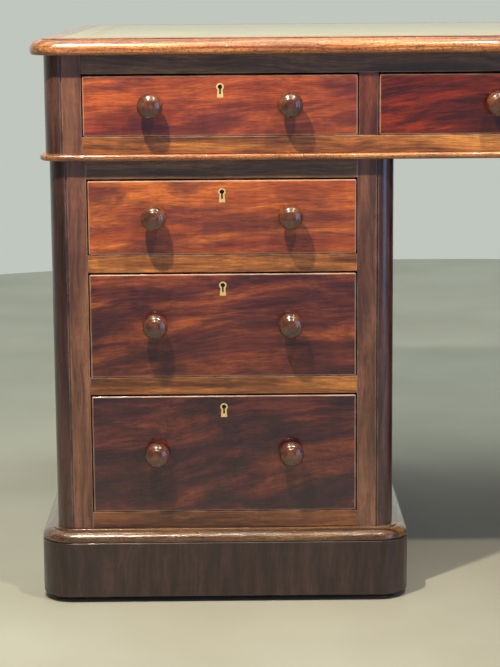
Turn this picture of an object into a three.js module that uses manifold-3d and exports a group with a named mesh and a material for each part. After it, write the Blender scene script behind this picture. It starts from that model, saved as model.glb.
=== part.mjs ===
// A mahogany pedestal writing desk in three sections: a leather-topped frieze with three drawers, standing on two
// pedestals of three drawers each. Millimetres, +Z up. The origin is on the floor under the middle of the desk,
// +X runs to the right along the drawer fronts, and the drawers open towards -Y.
import * as THREE from "three";
import { mergeVertices } from "three/addons/utils/BufferGeometryUtils.js";
import Module from "manifold-3d";

const wasm = await Module();
wasm.setup();

// ---- driving dimensions -------------------------------------------------------------------------------------
const TOP_WIDTH = 1580;
const TOP_DEPTH = 880;
const HEIGHT = 775;
const TOP_THICKNESS = 22;
const TOP_OVERHANG = 18.5; // top beyond the frieze
const FRIEZE_STEP = 4.5; // frieze beyond the pedestals
const NOSING = 8; // rounded nose of the frieze's base board, beyond the frieze
const BASE_OVERHANG = 21.5; // plinth and base board beyond the pedestal
const PEDESTAL_WIDTH = 467;
const FLOOR_GAP = 8; // the plinth boards clear the floor by this much
const PLINTH_TOP = 85;
const BASE_BOARD = 16;
const PEDESTAL_TOP = 611.5;
const NOSING_THICKNESS = 9;
const TOUCH = 0.3; // gap between pieces that touch

const POST_WIDTH = 50.5; // pedestal corner post, from its outer face to the drawer opening
const FRIEZE_POST_WIDTH = 51;
const POST_DEPTH = 26;
const COLUMN_RADIUS = 22.5; // quarter-round corner of each post
const QUIRK_WIDTH = 2; // groove either side of the quarter round
const QUIRK_DEPTH = 3;
const RAIL_DEPTH = 22;
const RAIL = 24; // rail between two drawers
const BOTTOM_RAIL = 23;
const LOWER_OPENING = 166;
const MIDDLE_OPENING = 145;
const UPPER_OPENING = 103.5;
const FRIEZE_RAIL = 23;
const FRIEZE_OPENING = 84;
const OUTER_DRAWER_OPENING = 371.5;
const MUNTIN = 26; // upright between two frieze drawers
const SIDE_THICKNESS = 18;
const FRIEZE_SIDE_THICKNESS = 20;
const PEDESTAL_LID = 12;
const BACK_PANEL = 8;
const BACK_RAIL = 60;

const RUNNER_REACH = 31; // runner beyond the guide, under the drawer side
const RUNNER_THICKNESS = 16;
const GUIDE_HEIGHT = 18;

const DRAWER_SIDE_GAP = 1.5;
const DRAWER_TOP_GAP = 2.5;
const DRAWER_BOTTOM_GAP = 0.5;
const FRONT_THICKNESS = 20;
const FRONT_PROUD = 0.5; // drawer front beyond the rails
const DRAWER_WALL = 10;
const DRAWER_BOX_LENGTH = 640;
const DRAWER_BOTTOM = 8;
const DRAWER_BOTTOM_LIFT = 4.5; // drawer bottom above the lower edge of its sides
const BOX_BELOW_FRONT = 4; // box sides end this much below the top of the front

const KNOB_RADIUS = 17.5;
const KNOB_REACH = 31; // knob beyond the drawer front
const KNOB_FROM_EDGE = 0.246; // knob centre from the drawer's end, as a share of its width
const KNOB_HEIGHT = 0.512; // knob centre above the drawer's lower edge, as a share of its height

const LEATHER_BORDER = 42; // wooden border round the leather
const LEATHER_RECESS = 1.5;
const LEATHER_THICKNESS = 1.1;
const TOP_MOULD_WIDTH = 18; // thumb moulding round the top
const TOP_MOULD_HEIGHT = 17;
const BASE_MOULD_WIDTH = 16;
const BASE_MOULD_HEIGHT = 13;

const FOOT = 70; // corner block inside the plinth
const PLINTH_BOARD = 19;

const ARC_STEPS = 6; // facets in a quarter circle
const MOULD_STEPS = 4;
const KNOB_STEPS = 16;

// ---- places worked out from them ----------------------------------------------------------------------------
const overallDepth = TOP_DEPTH + KNOB_REACH + FRONT_PROUD - TOP_OVERHANG; // knob tip to the back of the top
const topBack = overallDepth / 2;
const topFront = topBack - TOP_DEPTH;
const friezeFront = topFront + TOP_OVERHANG;
const friezeBack = topBack - TOP_OVERHANG;
const friezeHalf = TOP_WIDTH / 2 - TOP_OVERHANG;
const pedestalFront = friezeFront + FRIEZE_STEP;
const pedestalBack = friezeBack - FRIEZE_STEP;
const pedestalOuter = friezeHalf - FRIEZE_STEP;
const pedestalInner = pedestalOuter - PEDESTAL_WIDTH;
const baseBoardTop = PLINTH_TOP + BASE_BOARD;
const friezeBottom = PEDESTAL_TOP + NOSING_THICKNESS;
const friezeTop = HEIGHT - TOP_THICKNESS;
const lowerOpeningBottom = baseBoardTop + BOTTOM_RAIL;
const middleOpeningBottom = lowerOpeningBottom + LOWER_OPENING + RAIL;
const upperOpeningBottom = middleOpeningBottom + MIDDLE_OPENING + RAIL;
const friezeOpeningBottom = friezeBottom + FRIEZE_RAIL;
const outerOpeningOuter = friezeHalf - FRIEZE_POST_WIDTH;
const outerOpeningInner = outerOpeningOuter - OUTER_DRAWER_OPENING;
const centreOpeningHalf = outerOpeningInner - MUNTIN;

const pedestalLevels = [
  { name: "lower", bottom: lowerOpeningBottom, height: LOWER_OPENING },
  { name: "middle", bottom: middleOpeningBottom, height: MIDDLE_OPENING },
  { name: "upper", bottom: upperOpeningBottom, height: UPPER_OPENING },
];

// ---- finishes -----------------------------------------------------------------------------------------------
const mahogany = new THREE.MeshStandardMaterial({ color: 0x6b3a22, roughness: 0.28 });
const figuredMahogany = new THREE.MeshStandardMaterial({ color: 0x84361f, roughness: 0.25 });
const knobWood = new THREE.MeshStandardMaterial({ color: 0x54301d, roughness: 0.2 });
const drawerOak = new THREE.MeshStandardMaterial({ color: 0xa98558, roughness: 0.6 });
const leather = new THREE.MeshStandardMaterial({ color: 0xa3975e, roughness: 0.4 });

// ---- shape helpers ------------------------------------------------------------------------------------------

// A closed three.js geometry as a manifold-3d solid.
function solid(geometry) {
  const bare = geometry.index ? geometry.toNonIndexed() : geometry.clone();
  bare.deleteAttribute("normal");
  bare.deleteAttribute("uv");
  const merged = mergeVertices(bare, 1e-4);
  return new wasm.Manifold(
    new wasm.Mesh({
      numProp: 3,
      vertProperties: merged.attributes.position.array,
      triVerts: new Uint32Array(merged.index.array),
    }),
  );
}

// A manifold-3d solid as a three.js geometry.
function geometryOf(made) {
  const mesh = made.getMesh();
  const positions = new Float32Array(mesh.numVert * 3);
  for (let i = 0; i < mesh.numVert; i++) {
    const start = i * mesh.numProp;
    positions.set(mesh.vertProperties.subarray(start, start + 3), i * 3);
  }
  const geometry = new THREE.BufferGeometry();
  geometry.setAttribute("position", new THREE.BufferAttribute(positions, 3));
  geometry.setIndex(new THREE.BufferAttribute(mesh.triVerts, 1));
  geometry.computeVertexNormals();
  return geometry;
}

// Several geometries joined into one.
function join(...geometries) {
  return geometryOf(geometries.map(solid).reduce((whole, next) => whole.add(next)));
}

// A geometry with others cut out of it.
function cut(geometry, ...tools) {
  return geometryOf(tools.map(solid).reduce((left, tool) => left.subtract(tool), solid(geometry)));
}

// The box between two values on each axis, in any order.
function block([x0, x1], [y0, y1], [z0, z1]) {
  const geometry = new THREE.BoxGeometry(Math.abs(x1 - x0), Math.abs(y1 - y0), Math.abs(z1 - z0));
  return geometry.translate((x0 + x1) / 2, (y0 + y1) / 2, (z0 + z1) / 2);
}

// The outline of a rectangle with rounded corners, in plan.
function roundedOutline([x0, x1], [y0, y1], radius) {
  const outline = new THREE.Shape();
  outline.absarc(x1 - radius, y0 + radius, radius, -Math.PI / 2, 0);
  outline.absarc(x1 - radius, y1 - radius, radius, 0, Math.PI / 2);
  outline.absarc(x0 + radius, y1 - radius, radius, Math.PI / 2, Math.PI);
  outline.absarc(x0 + radius, y0 + radius, radius, Math.PI, Math.PI * 1.5);
  outline.closePath();
  return outline;
}

// A board with a convex moulding worked round its upper edge.
function mouldedBoard(xs, ys, [z0, z1], radius, width, height) {
  const board = new THREE.ExtrudeGeometry(roundedOutline(xs, ys, radius), {
    depth: 2 * (z1 - z0 - height),
    bevelThickness: height,
    bevelSize: width,
    bevelOffset: -width,
    bevelSegments: MOULD_STEPS,
    curveSegments: ARC_STEPS,
  });
  board.translate(0, 0, 2 * z0 - z1 + height);
  const margin = 1;
  const below = block(
    [xs[0] - margin, xs[1] + margin],
    [ys[0] - margin, ys[1] + margin],
    [2 * z0 - z1 - margin, z0],
  );
  return cut(board, below);
}

// A board whose edge is rounded to a half circle.
function nosedBoard(xs, ys, [z0, z1], radius) {
  const flat = 0.2;
  const nose = (z1 - z0 - flat) / 2;
  const board = new THREE.ExtrudeGeometry(roundedOutline(xs, ys, radius), {
    depth: flat,
    bevelThickness: nose,
    bevelSize: nose,
    bevelOffset: -nose,
    bevelSegments: MOULD_STEPS,
    curveSegments: ARC_STEPS,
  });
  return board.translate(0, 0, z0 + nose);
}

// A corner post with a quarter-round column between two quirks, its outer corner at (0, 0) and its body running
// to +X and +Y. sideX and sideY are 1 or -1, and turn it to face any of the four corners.
function cornerPost(x, y, sideX, sideY, width, [z0, z1], radius) {
  const outline = new THREE.Shape();
  outline.moveTo(radius, 0);
  outline.lineTo(radius, QUIRK_DEPTH);
  outline.lineTo(radius + QUIRK_WIDTH, QUIRK_DEPTH);
  outline.lineTo(radius + QUIRK_WIDTH, 0);
  outline.lineTo(width, 0);
  outline.lineTo(width, POST_DEPTH);
  outline.lineTo(QUIRK_DEPTH, POST_DEPTH);
  outline.lineTo(QUIRK_DEPTH, radius);
  outline.lineTo(0, radius);
  outline.absarc(radius, radius, radius, Math.PI, Math.PI * 1.5);
  const geometry = new THREE.ExtrudeGeometry(outline, {
    depth: z1 - z0,
    bevelEnabled: false,
    curveSegments: ARC_STEPS,
  });
  geometry.scale(sideX, sideY, 1);
  if (sideX * sideY < 0) turnFacesRound(geometry);
  return geometry.translate(x, y, z0);
}

// Puts the faces of a mirrored geometry back to pointing outwards.
function turnFacesRound(geometry) {
  const position = geometry.attributes.position;
  const corner = new THREE.Vector3();
  const other = new THREE.Vector3();
  for (let i = 0; i < position.count; i += 3) {
    corner.fromBufferAttribute(position, i + 1);
    other.fromBufferAttribute(position, i + 2);
    position.setXYZ(i + 1, other.x, other.y, other.z);
    position.setXYZ(i + 2, corner.x, corner.y, corner.z);
  }
}

function piece(name, geometry, material) {
  const mesh = new THREE.Mesh(geometry, material);
  mesh.name = name;
  return mesh;
}

// ---- the drawers --------------------------------------------------------------------------------------------

// One drawer in the opening between x0 and x1: its front, its box and its two knobs.
function drawer(name, [x0, x1], face, bottom, openingHeight) {
  const left = x0 + DRAWER_SIDE_GAP;
  const right = x1 - DRAWER_SIDE_GAP;
  const low = bottom + DRAWER_BOTTOM_GAP;
  const high = bottom + openingHeight - DRAWER_TOP_GAP;
  const frontFace = face - FRONT_PROUD;
  const frontBack = frontFace + FRONT_THICKNESS;
  const group = new THREE.Group();
  const front = block([left, right], [frontFace, frontBack], [low, high]);
  group.add(piece(`${name}_front`, front, figuredMahogany));

  const boxFront = frontBack + TOUCH;
  const boxBack = boxFront + DRAWER_BOX_LENGTH;
  const boxTop = high - BOX_BELOW_FRONT;
  const depth = [boxFront, boxBack];
  const wallHeight = [low, boxTop];
  const floorLevel = low + DRAWER_BOTTOM_LIFT;
  const box = join(
    block([left, left + DRAWER_WALL], depth, wallHeight),
    block([right - DRAWER_WALL, right], depth, wallHeight),
    block([left, right], [boxBack - DRAWER_WALL, boxBack], wallHeight),
    block([left + 1, right - 1], depth, [floorLevel, floorLevel + DRAWER_BOTTOM]),
  );
  group.add(piece(`${name}_box`, box, drawerOak));

  const inset = KNOB_FROM_EDGE * (right - left);
  const knobHeight = low + KNOB_HEIGHT * (high - low);
  for (const [side, x] of [["left", left + inset], ["right", right - inset]]) {
    const knob = piece(`${name}_knob_${side}`, knobGeometry(), knobWood);
    knob.position.set(x, frontFace - TOUCH, knobHeight);
    group.add(knob);
  }
  return group;
}

// A turned knob standing out along -Y from its base: a collar, a waisted neck and a domed head.
function knobGeometry() {
  const reach = KNOB_REACH - TOUCH;
  const profile = [
    new THREE.Vector2(0, -reach),
    new THREE.Vector2(0.45 * KNOB_RADIUS, -0.975 * reach),
    new THREE.Vector2(0.8 * KNOB_RADIUS, -0.88 * reach),
    new THREE.Vector2(0.97 * KNOB_RADIUS, -0.74 * reach),
    new THREE.Vector2(KNOB_RADIUS, -0.62 * reach),
    new THREE.Vector2(0.88 * KNOB_RADIUS, -0.46 * reach),
    new THREE.Vector2(0.5 * KNOB_RADIUS, -0.28 * reach),
    new THREE.Vector2(0.44 * KNOB_RADIUS, -0.16 * reach),
    new THREE.Vector2(0.62 * KNOB_RADIUS, -0.06 * reach),
    new THREE.Vector2(0.62 * KNOB_RADIUS, 0),
    new THREE.Vector2(0, 0),
  ];
  return new THREE.LatheGeometry(profile, KNOB_STEPS);
}

// ---- a pedestal ---------------------------------------------------------------------------------------------

// A pedestal: side is -1 for the left one and 1 for the right one.
function pedestal(name, side) {
  const outer = side * pedestalOuter;
  const inner = side * pedestalInner;
  const xs = [Math.min(outer, inner), Math.max(outer, inner)];
  const group = new THREE.Group();

  const overXs = [xs[0] - BASE_OVERHANG, xs[1] + BASE_OVERHANG];
  const overYs = [pedestalFront - BASE_OVERHANG, pedestalBack + BASE_OVERHANG];
  const baseRadius = COLUMN_RADIUS + BASE_OVERHANG;
  group.add(piece(`${name}_plinth`, plinth(overXs, overYs, baseRadius), mahogany));
  const baseZs = [PLINTH_TOP + TOUCH, baseBoardTop];
  const base = mouldedBoard(overXs, overYs, baseZs, baseRadius, BASE_MOULD_WIDTH, BASE_MOULD_HEIGHT);
  group.add(piece(`${name}_base_board`, base, mahogany));

  const bodyZs = [baseBoardTop + TOUCH, PEDESTAL_TOP];
  group.add(piece(`${name}_front_frame`, pedestalFrontFrame(xs, bodyZs), mahogany));
  group.add(piece(`${name}_back_frame`, pedestalBackFrame(xs, bodyZs), mahogany));
  group.add(piece(`${name}_outer_side`, pedestalSide(outer, -side, bodyZs), mahogany));
  group.add(piece(`${name}_inner_side`, pedestalSide(inner, side, bodyZs), mahogany));
  const lid = block(
    [xs[0] + SIDE_THICKNESS + TOUCH, xs[1] - SIDE_THICKNESS - TOUCH],
    [pedestalFront + POST_DEPTH + TOUCH, pedestalBack - POST_DEPTH - TOUCH],
    [PEDESTAL_TOP - PEDESTAL_LID, PEDESTAL_TOP],
  );
  group.add(piece(`${name}_lid`, lid, drawerOak));

  const opening = [xs[0] + POST_WIDTH, xs[1] - POST_WIDTH];
  for (const level of pedestalLevels) {
    const drawerName = `${name}_${level.name}_drawer`;
    group.add(drawer(drawerName, opening, pedestalFront, level.bottom, level.height));
  }
  return group;
}

// The plinth: four boards with rounded corners, and four corner blocks that stand on the floor.
function plinth(xs, ys, radius) {
  const boards = new THREE.ExtrudeGeometry(roundedOutline(xs, ys, radius), {
    depth: PLINTH_TOP - FLOOR_GAP,
    bevelEnabled: false,
    curveSegments: ARC_STEPS,
  }).translate(0, 0, FLOOR_GAP);
  const innerXs = [xs[0] + PLINTH_BOARD, xs[1] - PLINTH_BOARD];
  const innerYs = [ys[0] + PLINTH_BOARD, ys[1] - PLINTH_BOARD];
  const ring = cut(boards, block(innerXs, innerYs, [0, HEIGHT]));
  const feet = [];
  for (const [x, towardX] of [[innerXs[0], 1], [innerXs[1], -1]]) {
    for (const [y, towardY] of [[innerYs[0], 1], [innerYs[1], -1]]) {
      feet.push(block([x - towardX, x + towardX * FOOT], [y - towardY, y + towardY * FOOT], [0, PLINTH_TOP]));
    }
  }
  return join(ring, ...feet);
}

// The two front posts and the four rails between them.
function pedestalFrontFrame(xs, zs) {
  const rails = [
    [zs[0], lowerOpeningBottom],
    [middleOpeningBottom - RAIL, middleOpeningBottom],
    [upperOpeningBottom - RAIL, upperOpeningBottom],
    [upperOpeningBottom + UPPER_OPENING, zs[1]],
  ];
  const railXs = [xs[0] + POST_WIDTH - 1, xs[1] - POST_WIDTH + 1];
  const railYs = [pedestalFront, pedestalFront + RAIL_DEPTH];
  return join(
    cornerPost(xs[0], pedestalFront, 1, 1, POST_WIDTH, zs, COLUMN_RADIUS),
    cornerPost(xs[1], pedestalFront, -1, 1, POST_WIDTH, zs, COLUMN_RADIUS),
    ...rails.map((railZs) => block(railXs, railYs, railZs)),
  );
}

// The two back posts, a rail at the top and bottom, and the panel between them.
function pedestalBackFrame(xs, zs) {
  const railXs = [xs[0] + POST_WIDTH - 1, xs[1] - POST_WIDTH + 1];
  const railYs = [pedestalBack - RAIL_DEPTH, pedestalBack];
  const panelYs = [pedestalBack - RAIL_DEPTH, pedestalBack - RAIL_DEPTH + BACK_PANEL];
  return join(
    cornerPost(xs[0], pedestalBack, 1, -1, POST_WIDTH, zs, COLUMN_RADIUS),
    cornerPost(xs[1], pedestalBack, -1, -1, POST_WIDTH, zs, COLUMN_RADIUS),
    block(railXs, railYs, [zs[0], zs[0] + BACK_RAIL]),
    block(railXs, railYs, [zs[1] - BACK_RAIL, zs[1]]),
    block(railXs, panelYs, zs),
  );
}

// A side board with the runner and guide for each drawer. inward is 1 or -1, from the board into the carcass.
function pedestalSide(face, inward, zs) {
  const ys = [pedestalFront + POST_DEPTH + TOUCH, pedestalBack - POST_DEPTH - TOUCH];
  const insideFace = face + inward * SIDE_THICKNESS;
  const guideReach = POST_WIDTH - SIDE_THICKNESS;
  const bars = [];
  for (const { bottom } of pedestalLevels) {
    bars.push(...runner(insideFace, inward, guideReach, ys, bottom, RUNNER_THICKNESS));
  }
  return join(block([face, insideFace], ys, zs), ...bars);
}

// The bar that a drawer side slides on, and the guide that stands beside it.
function runner(from, inward, guideReach, ys, level, thickness) {
  const start = from - inward;
  const guideEnd = from + inward * guideReach;
  return [
    block([start, guideEnd + inward * RUNNER_REACH], ys, [level - thickness, level]),
    block([start, guideEnd], ys, [level - 1, level + GUIDE_HEIGHT]),
  ];
}

// ---- the frieze and the top ---------------------------------------------------------------------------------

function topSection() {
  const group = new THREE.Group();
  const zs = [friezeBottom + TOUCH, friezeTop - TOUCH];
  const ys = [friezeFront + POST_DEPTH + TOUCH, friezeBack - POST_DEPTH - TOUCH];
  const radius = COLUMN_RADIUS + 0.5;

  const boardXs = [-friezeHalf - NOSING, friezeHalf + NOSING];
  const boardYs = [friezeFront - NOSING, friezeBack + NOSING];
  const boardZs = [PEDESTAL_TOP + TOUCH, friezeBottom];
  const board = nosedBoard(boardXs, boardYs, boardZs, radius + NOSING);
  group.add(piece("frieze_base_board", board, mahogany));
  group.add(piece("frieze_front_frame", friezeFrontFrame(zs, radius), mahogany));
  group.add(piece("frieze_back_frame", friezeBackFrame(zs, radius), mahogany));
  for (const [name, side] of [["left", -1], ["right", 1]]) {
    group.add(piece(`frieze_${name}_side`, friezeSide(side, ys, zs), mahogany));
    group.add(piece(`frieze_${name}_divider`, friezeDivider(side, ys, zs), drawerOak));
  }

  const topXs = [-TOP_WIDTH / 2, TOP_WIDTH / 2];
  const topYs = [topFront, topBack];
  const topRadius = radius + TOP_OVERHANG;
  const plain = mouldedBoard(topXs, topYs, [friezeTop, HEIGHT], topRadius, TOP_MOULD_WIDTH, TOP_MOULD_HEIGHT);
  const recessXs = [topXs[0] + LEATHER_BORDER, topXs[1] - LEATHER_BORDER];
  const recessYs = [topYs[0] + LEATHER_BORDER, topYs[1] - LEATHER_BORDER];
  const recess = block(recessXs, recessYs, [HEIGHT - LEATHER_RECESS, HEIGHT + 1]);
  group.add(piece("top_board", cut(plain, recess), mahogany));
  const leatherBottom = HEIGHT - LEATHER_RECESS + TOUCH;
  const panel = block(
    [recessXs[0] + TOUCH, recessXs[1] - TOUCH],
    [recessYs[0] + TOUCH, recessYs[1] - TOUCH],
    [leatherBottom, leatherBottom + LEATHER_THICKNESS],
  );
  group.add(piece("writing_leather", panel, leather));

  const centre = [-centreOpeningHalf, centreOpeningHalf];
  group.add(drawer("centre_frieze_drawer", centre, friezeFront, friezeOpeningBottom, FRIEZE_OPENING));
  for (const [name, side] of [["left", -1], ["right", 1]]) {
    const opening = [side * outerOpeningOuter, side * outerOpeningInner].sort((a, b) => a - b);
    group.add(drawer(`${name}_frieze_drawer`, opening, friezeFront, friezeOpeningBottom, FRIEZE_OPENING));
  }
  return group;
}

// Two corner posts, the rails above and below the drawers, and the two muntins between the drawers.
function friezeFrontFrame(zs, radius) {
  const railXs = [-outerOpeningOuter - 1, outerOpeningOuter + 1];
  const railYs = [friezeFront, friezeFront + RAIL_DEPTH];
  const openingTop = friezeOpeningBottom + FRIEZE_OPENING;
  return join(
    cornerPost(-friezeHalf, friezeFront, 1, 1, FRIEZE_POST_WIDTH, zs, radius),
    cornerPost(friezeHalf, friezeFront, -1, 1, FRIEZE_POST_WIDTH, zs, radius),
    block(railXs, railYs, [zs[0], friezeOpeningBottom]),
    block(railXs, railYs, [openingTop, zs[1]]),
    block([-outerOpeningInner, -centreOpeningHalf], railYs, zs),
    block([centreOpeningHalf, outerOpeningInner], railYs, zs),
  );
}

// The back of the frieze: a board between two corner posts.
function friezeBackFrame(zs, radius) {
  const railXs = [-outerOpeningOuter - 1, outerOpeningOuter + 1];
  return join(
    cornerPost(-friezeHalf, friezeBack, 1, -1, FRIEZE_POST_WIDTH, zs, radius),
    cornerPost(friezeHalf, friezeBack, -1, -1, FRIEZE_POST_WIDTH, zs, radius),
    block(railXs, [friezeBack - RAIL_DEPTH, friezeBack], zs),
  );
}

// An end of the frieze, with the runner and guide of the drawer beside it.
function friezeSide(side, ys, zs) {
  const face = side * friezeHalf;
  const insideFace = face - side * FRIEZE_SIDE_THICKNESS;
  const guideReach = FRIEZE_POST_WIDTH - FRIEZE_SIDE_THICKNESS;
  const thickness = FRIEZE_RAIL - TOUCH;
  const bars = runner(insideFace, -side, guideReach, ys, friezeOpeningBottom, thickness);
  return join(block([face, insideFace], ys, zs), ...bars);
}

// A divider between two frieze drawers, with a runner on each side.
function friezeDivider(side, ys, zs) {
  const clearance = 1;
  const near = side * (centreOpeningHalf + clearance);
  const far = side * (outerOpeningInner - clearance);
  return join(
    block([near, far], ys, zs),
    block([near - side * RUNNER_REACH, far + side * RUNNER_REACH], ys, [zs[0], friezeOpeningBottom]),
  );
}

const desk = new THREE.Group();
desk.add(topSection());
desk.add(pedestal("left_pedestal", -1));
desk.add(pedestal("right_pedestal", 1));

export default desk;
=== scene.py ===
"""A mahogany pedestal writing desk: the visible pieces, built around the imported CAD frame.

Everything is in metres in the desk's own frame: +X runs right along the drawer fronts, +Y from front to
back, and +Z up from the floor. Each board is a piece of its own, as it would come off the bench.
"""

import logging
import math
from collections.abc import Iterable, Sequence
from dataclasses import dataclass, replace
from enum import Enum
from functools import partial

import bmesh
import bpy
from bmesh.types import BMesh, BMEdge, BMFace, BMVert
from bpy.types import Material, NodeSocket, NodeTree, Object
from mathutils import Matrix, Vector


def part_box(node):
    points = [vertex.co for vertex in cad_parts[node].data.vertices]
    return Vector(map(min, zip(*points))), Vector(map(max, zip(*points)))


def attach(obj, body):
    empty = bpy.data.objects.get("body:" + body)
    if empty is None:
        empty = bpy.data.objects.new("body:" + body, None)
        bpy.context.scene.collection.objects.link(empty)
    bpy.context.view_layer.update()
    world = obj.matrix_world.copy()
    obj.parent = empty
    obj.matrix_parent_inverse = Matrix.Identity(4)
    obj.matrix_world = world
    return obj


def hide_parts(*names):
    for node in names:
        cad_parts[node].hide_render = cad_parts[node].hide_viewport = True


log = logging.getLogger("desk")
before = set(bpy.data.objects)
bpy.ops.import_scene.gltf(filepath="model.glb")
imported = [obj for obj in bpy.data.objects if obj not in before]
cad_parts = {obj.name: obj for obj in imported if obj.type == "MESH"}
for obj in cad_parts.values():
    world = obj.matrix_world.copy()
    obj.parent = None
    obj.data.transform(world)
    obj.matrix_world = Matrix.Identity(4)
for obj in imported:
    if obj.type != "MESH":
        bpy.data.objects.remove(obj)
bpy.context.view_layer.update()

MM = 0.001
SMOOTH_ANGLE = math.radians(40)
SEAM = 0.1 * MM  # the hairline between two boards
UP = Vector((0, 0, 1))
Span = tuple[float, float]
Triple = tuple[float, float, float]


# ---- colour and nodes ----------------------------------------------------------------------------


def linear(colour: str, alpha: float = 1.0) -> tuple[float, float, float, float]:
    """Turns an sRGB hex colour into the linear values that shaders use.

    Args:
        colour: The colour as "#rrggbb".
        alpha: The opacity.

    Returns:
        Linear red, green and blue, and the opacity.
    """
    values = [int(colour[i : i + 2], 16) / 255 for i in (1, 3, 5)]
    toned = [v / 12.92 if v <= 0.04045 else ((v + 0.055) / 1.055) ** 2.4 for v in values]
    return (toned[0], toned[1], toned[2], alpha)


def add_node(
    tree: NodeTree,
    kind: str,
    inputs: dict[str | int, object] | None = None,
    out: str | int = 0,
    stops: Sequence[tuple[float, str]] = (),
    **settings: object,
) -> NodeSocket | None:
    """Adds a shader node with its settings and links.

    Args:
        tree: The node tree to add to.
        kind: The node's type, without "ShaderNode".
        inputs: Input names or numbers, each with a value, a hex colour or an output to link.
        out: The output to return.
        stops: A colour ramp's positions and hex colours.
        **settings: The node's own properties.

    Returns:
        The chosen output, or nothing for a node that has none.
    """
    made = tree.nodes.new("ShaderNode" + kind)
    for name, value in settings.items():
        setattr(made, name, value)
    for key, value in (inputs or {}).items():
        if isinstance(value, NodeSocket):
            tree.links.new(value, made.inputs[key])
        else:
            made.inputs[key].default_value = linear(value) if isinstance(value, str) else value
    if stops:
        elements = made.color_ramp.elements
        while len(elements) < len(stops):
            elements.new(0.5)
        for element, (position, colour) in zip(elements, stops):
            element.position = position
            element.color = linear(colour)
    return made.outputs[out] if made.outputs else None


class Slot(Enum):
    """The record's material slots."""

    MAHOGANY = "mahogany"
    FIGURED = "figured_mahogany"
    KNOB = "turned_knob"
    OAK = "oak_lining"
    LEATHER = "leather"
    BRASS = "brass"


class Grain(Enum):
    """Which way a board's grain runs, as the turn that takes the X axis there."""

    ACROSS = (0.0, 0.0, 0.0)
    UPRIGHT = (0.0, -math.pi / 2, 0.0)
    FRONT_TO_BACK = (0.0, 0.0, math.pi / 2)


class Finish:
    """A surface finish, whose material is built once, when a piece first takes it."""

    name: str
    slot: Slot

    def material(self) -> Material:
        """Returns the finish's material, building it if it isn't there yet."""
        made = bpy.data.materials.get(self.name)
        if made is None:
            made = bpy.data.materials.new(self.name)
            made.use_nodes = True
            made.node_tree.nodes.clear()
            self.build(made.node_tree)
        return made

    def build(self, tree: NodeTree) -> None:
        """Builds the shader in an empty tree."""
        raise NotImplementedError


def waved(tree: NodeTree, wave_mm: float) -> NodeSocket:
    """Object coordinates bent a little, so that the grain wanders as it does in a real board.

    Args:
        tree: The tree to add to.
        wave_mm: How far the grain wanders.

    Returns:
        The bent coordinates.
    """
    add = partial(add_node, tree)
    coords = add("TexCoord", out="Object")
    bend = add("TexNoise", {"Vector": coords, "Scale": 6.0, "Detail": 1.5}, out="Color")
    centred = add("VectorMath", {0: bend, 1: (0.5, 0.5, 0.5)}, operation="SUBTRACT")
    reach = (4 * wave_mm * MM,) * 3
    return add("VectorMath", {0: centred, 1: reach, 2: coords}, operation="MULTIPLY_ADD")


def stretched(
    tree: NodeTree,
    coords: NodeSocket,
    grain: Grain,
    size_mm: Span,
    slant: float = 0.0,
    shift_mm: Triple = (0.0, 0.0, 0.0),
) -> NodeSocket:
    """Coordinates turned along the grain and measured in the pattern's own size.

    Args:
        tree: The tree to add to.
        coords: The coordinates in metres.
        grain: The way the grain runs.
        size_mm: The pattern's length along the grain and its width across it.
        slant: How far the pattern leans from the grain, in degrees, rising to the right on a front.
        shift_mm: Moves the pattern, so that boards of one kind differ.

    Returns:
        The coordinates to give a texture of scale 1.
    """
    turn_x, turn_y, turn_z = grain.value
    inputs = {
        "Vector": coords,
        "Location": tuple(s * MM for s in shift_mm),
        "Rotation": (turn_x, turn_y - math.radians(slant), turn_z),
        "Scale": (size_mm[0] * MM, size_mm[1] * MM, size_mm[1] * MM),
    }
    return add_node(tree, "Mapping", inputs, vector_type="TEXTURE")


def recess_shade_and_tarnish(tree: NodeTree, reach_mm: float = 7.0) -> NodeSocket:
    """A mask of the corners and grooves: painted shade on wood, and the tarnish in a metal's hollows.

    Args:
        tree: The tree to add to.
        reach_mm: How far it spreads from a corner.

    Returns:
        The mask.
    """
    inputs = {"Distance": reach_mm * MM}
    # Painted shade: how closely a corner is hemmed in becomes how much dark colour it takes.
    near = add_node(tree, "AmbientOcclusion", inputs, out="AO", samples=4, only_local=True)
    return add_node(tree, "MapRange", {"Value": near, "From Min": 0.8, "From Max": 0.35, "To Max": 0.85})


def arris_wear_and_highlight(tree: NodeTree, squared: bool, least: float, most: float) -> NodeSocket:
    """A mask of the arrises, lightened where hands and cloths have rubbed the polish and with a painted
    highlight.

    Args:
        tree: The tree to add to.
        squared: Whether the piece is a square board, whose arrises are all that isn't square.
        least: The wear and painted highlight in the best-kept places.
        most: The wear and painted highlight in the worst.

    Returns:
        The mask.
    """
    add = partial(add_node, tree)
    if squared:
        size = add("VectorMath", {0: add("NewGeometry", out="True Normal")}, operation="ABSOLUTE")
        x, y, z = add("SeparateXYZ", {0: size}).node.outputs
        wider = add("Math", {0: x, 1: y}, operation="MAXIMUM")
        widest = add("Math", {0: wider, 1: z}, operation="MAXIMUM")
        edge = add("MapRange", {"Value": widest, "From Min": 0.995, "From Max": 0.93, "To Max": 1.0})
    else:
        rounded = add("Bevel", {"Radius": 1.7 * MM}, samples=6)
        inputs = {0: rounded, 1: add("NewGeometry", out="Normal")}
        flatness = add("VectorMath", inputs, out="Value", operation="DOT_PRODUCT")
        edge = add("MapRange", {"Value": flatness, "From Min": 0.99, "From Max": 0.94, "To Max": 1.0})
    patches = add("TexNoise", {"Vector": add("TexCoord", out="Object"), "Scale": 38.0, "Detail": 4.0})
    inputs = {"Value": patches, "From Min": 0.38, "From Max": 0.62, "To Min": least, "To Max": most}
    return add("Math", {0: edge, 1: add("MapRange", inputs)}, operation="MULTIPLY")


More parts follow.
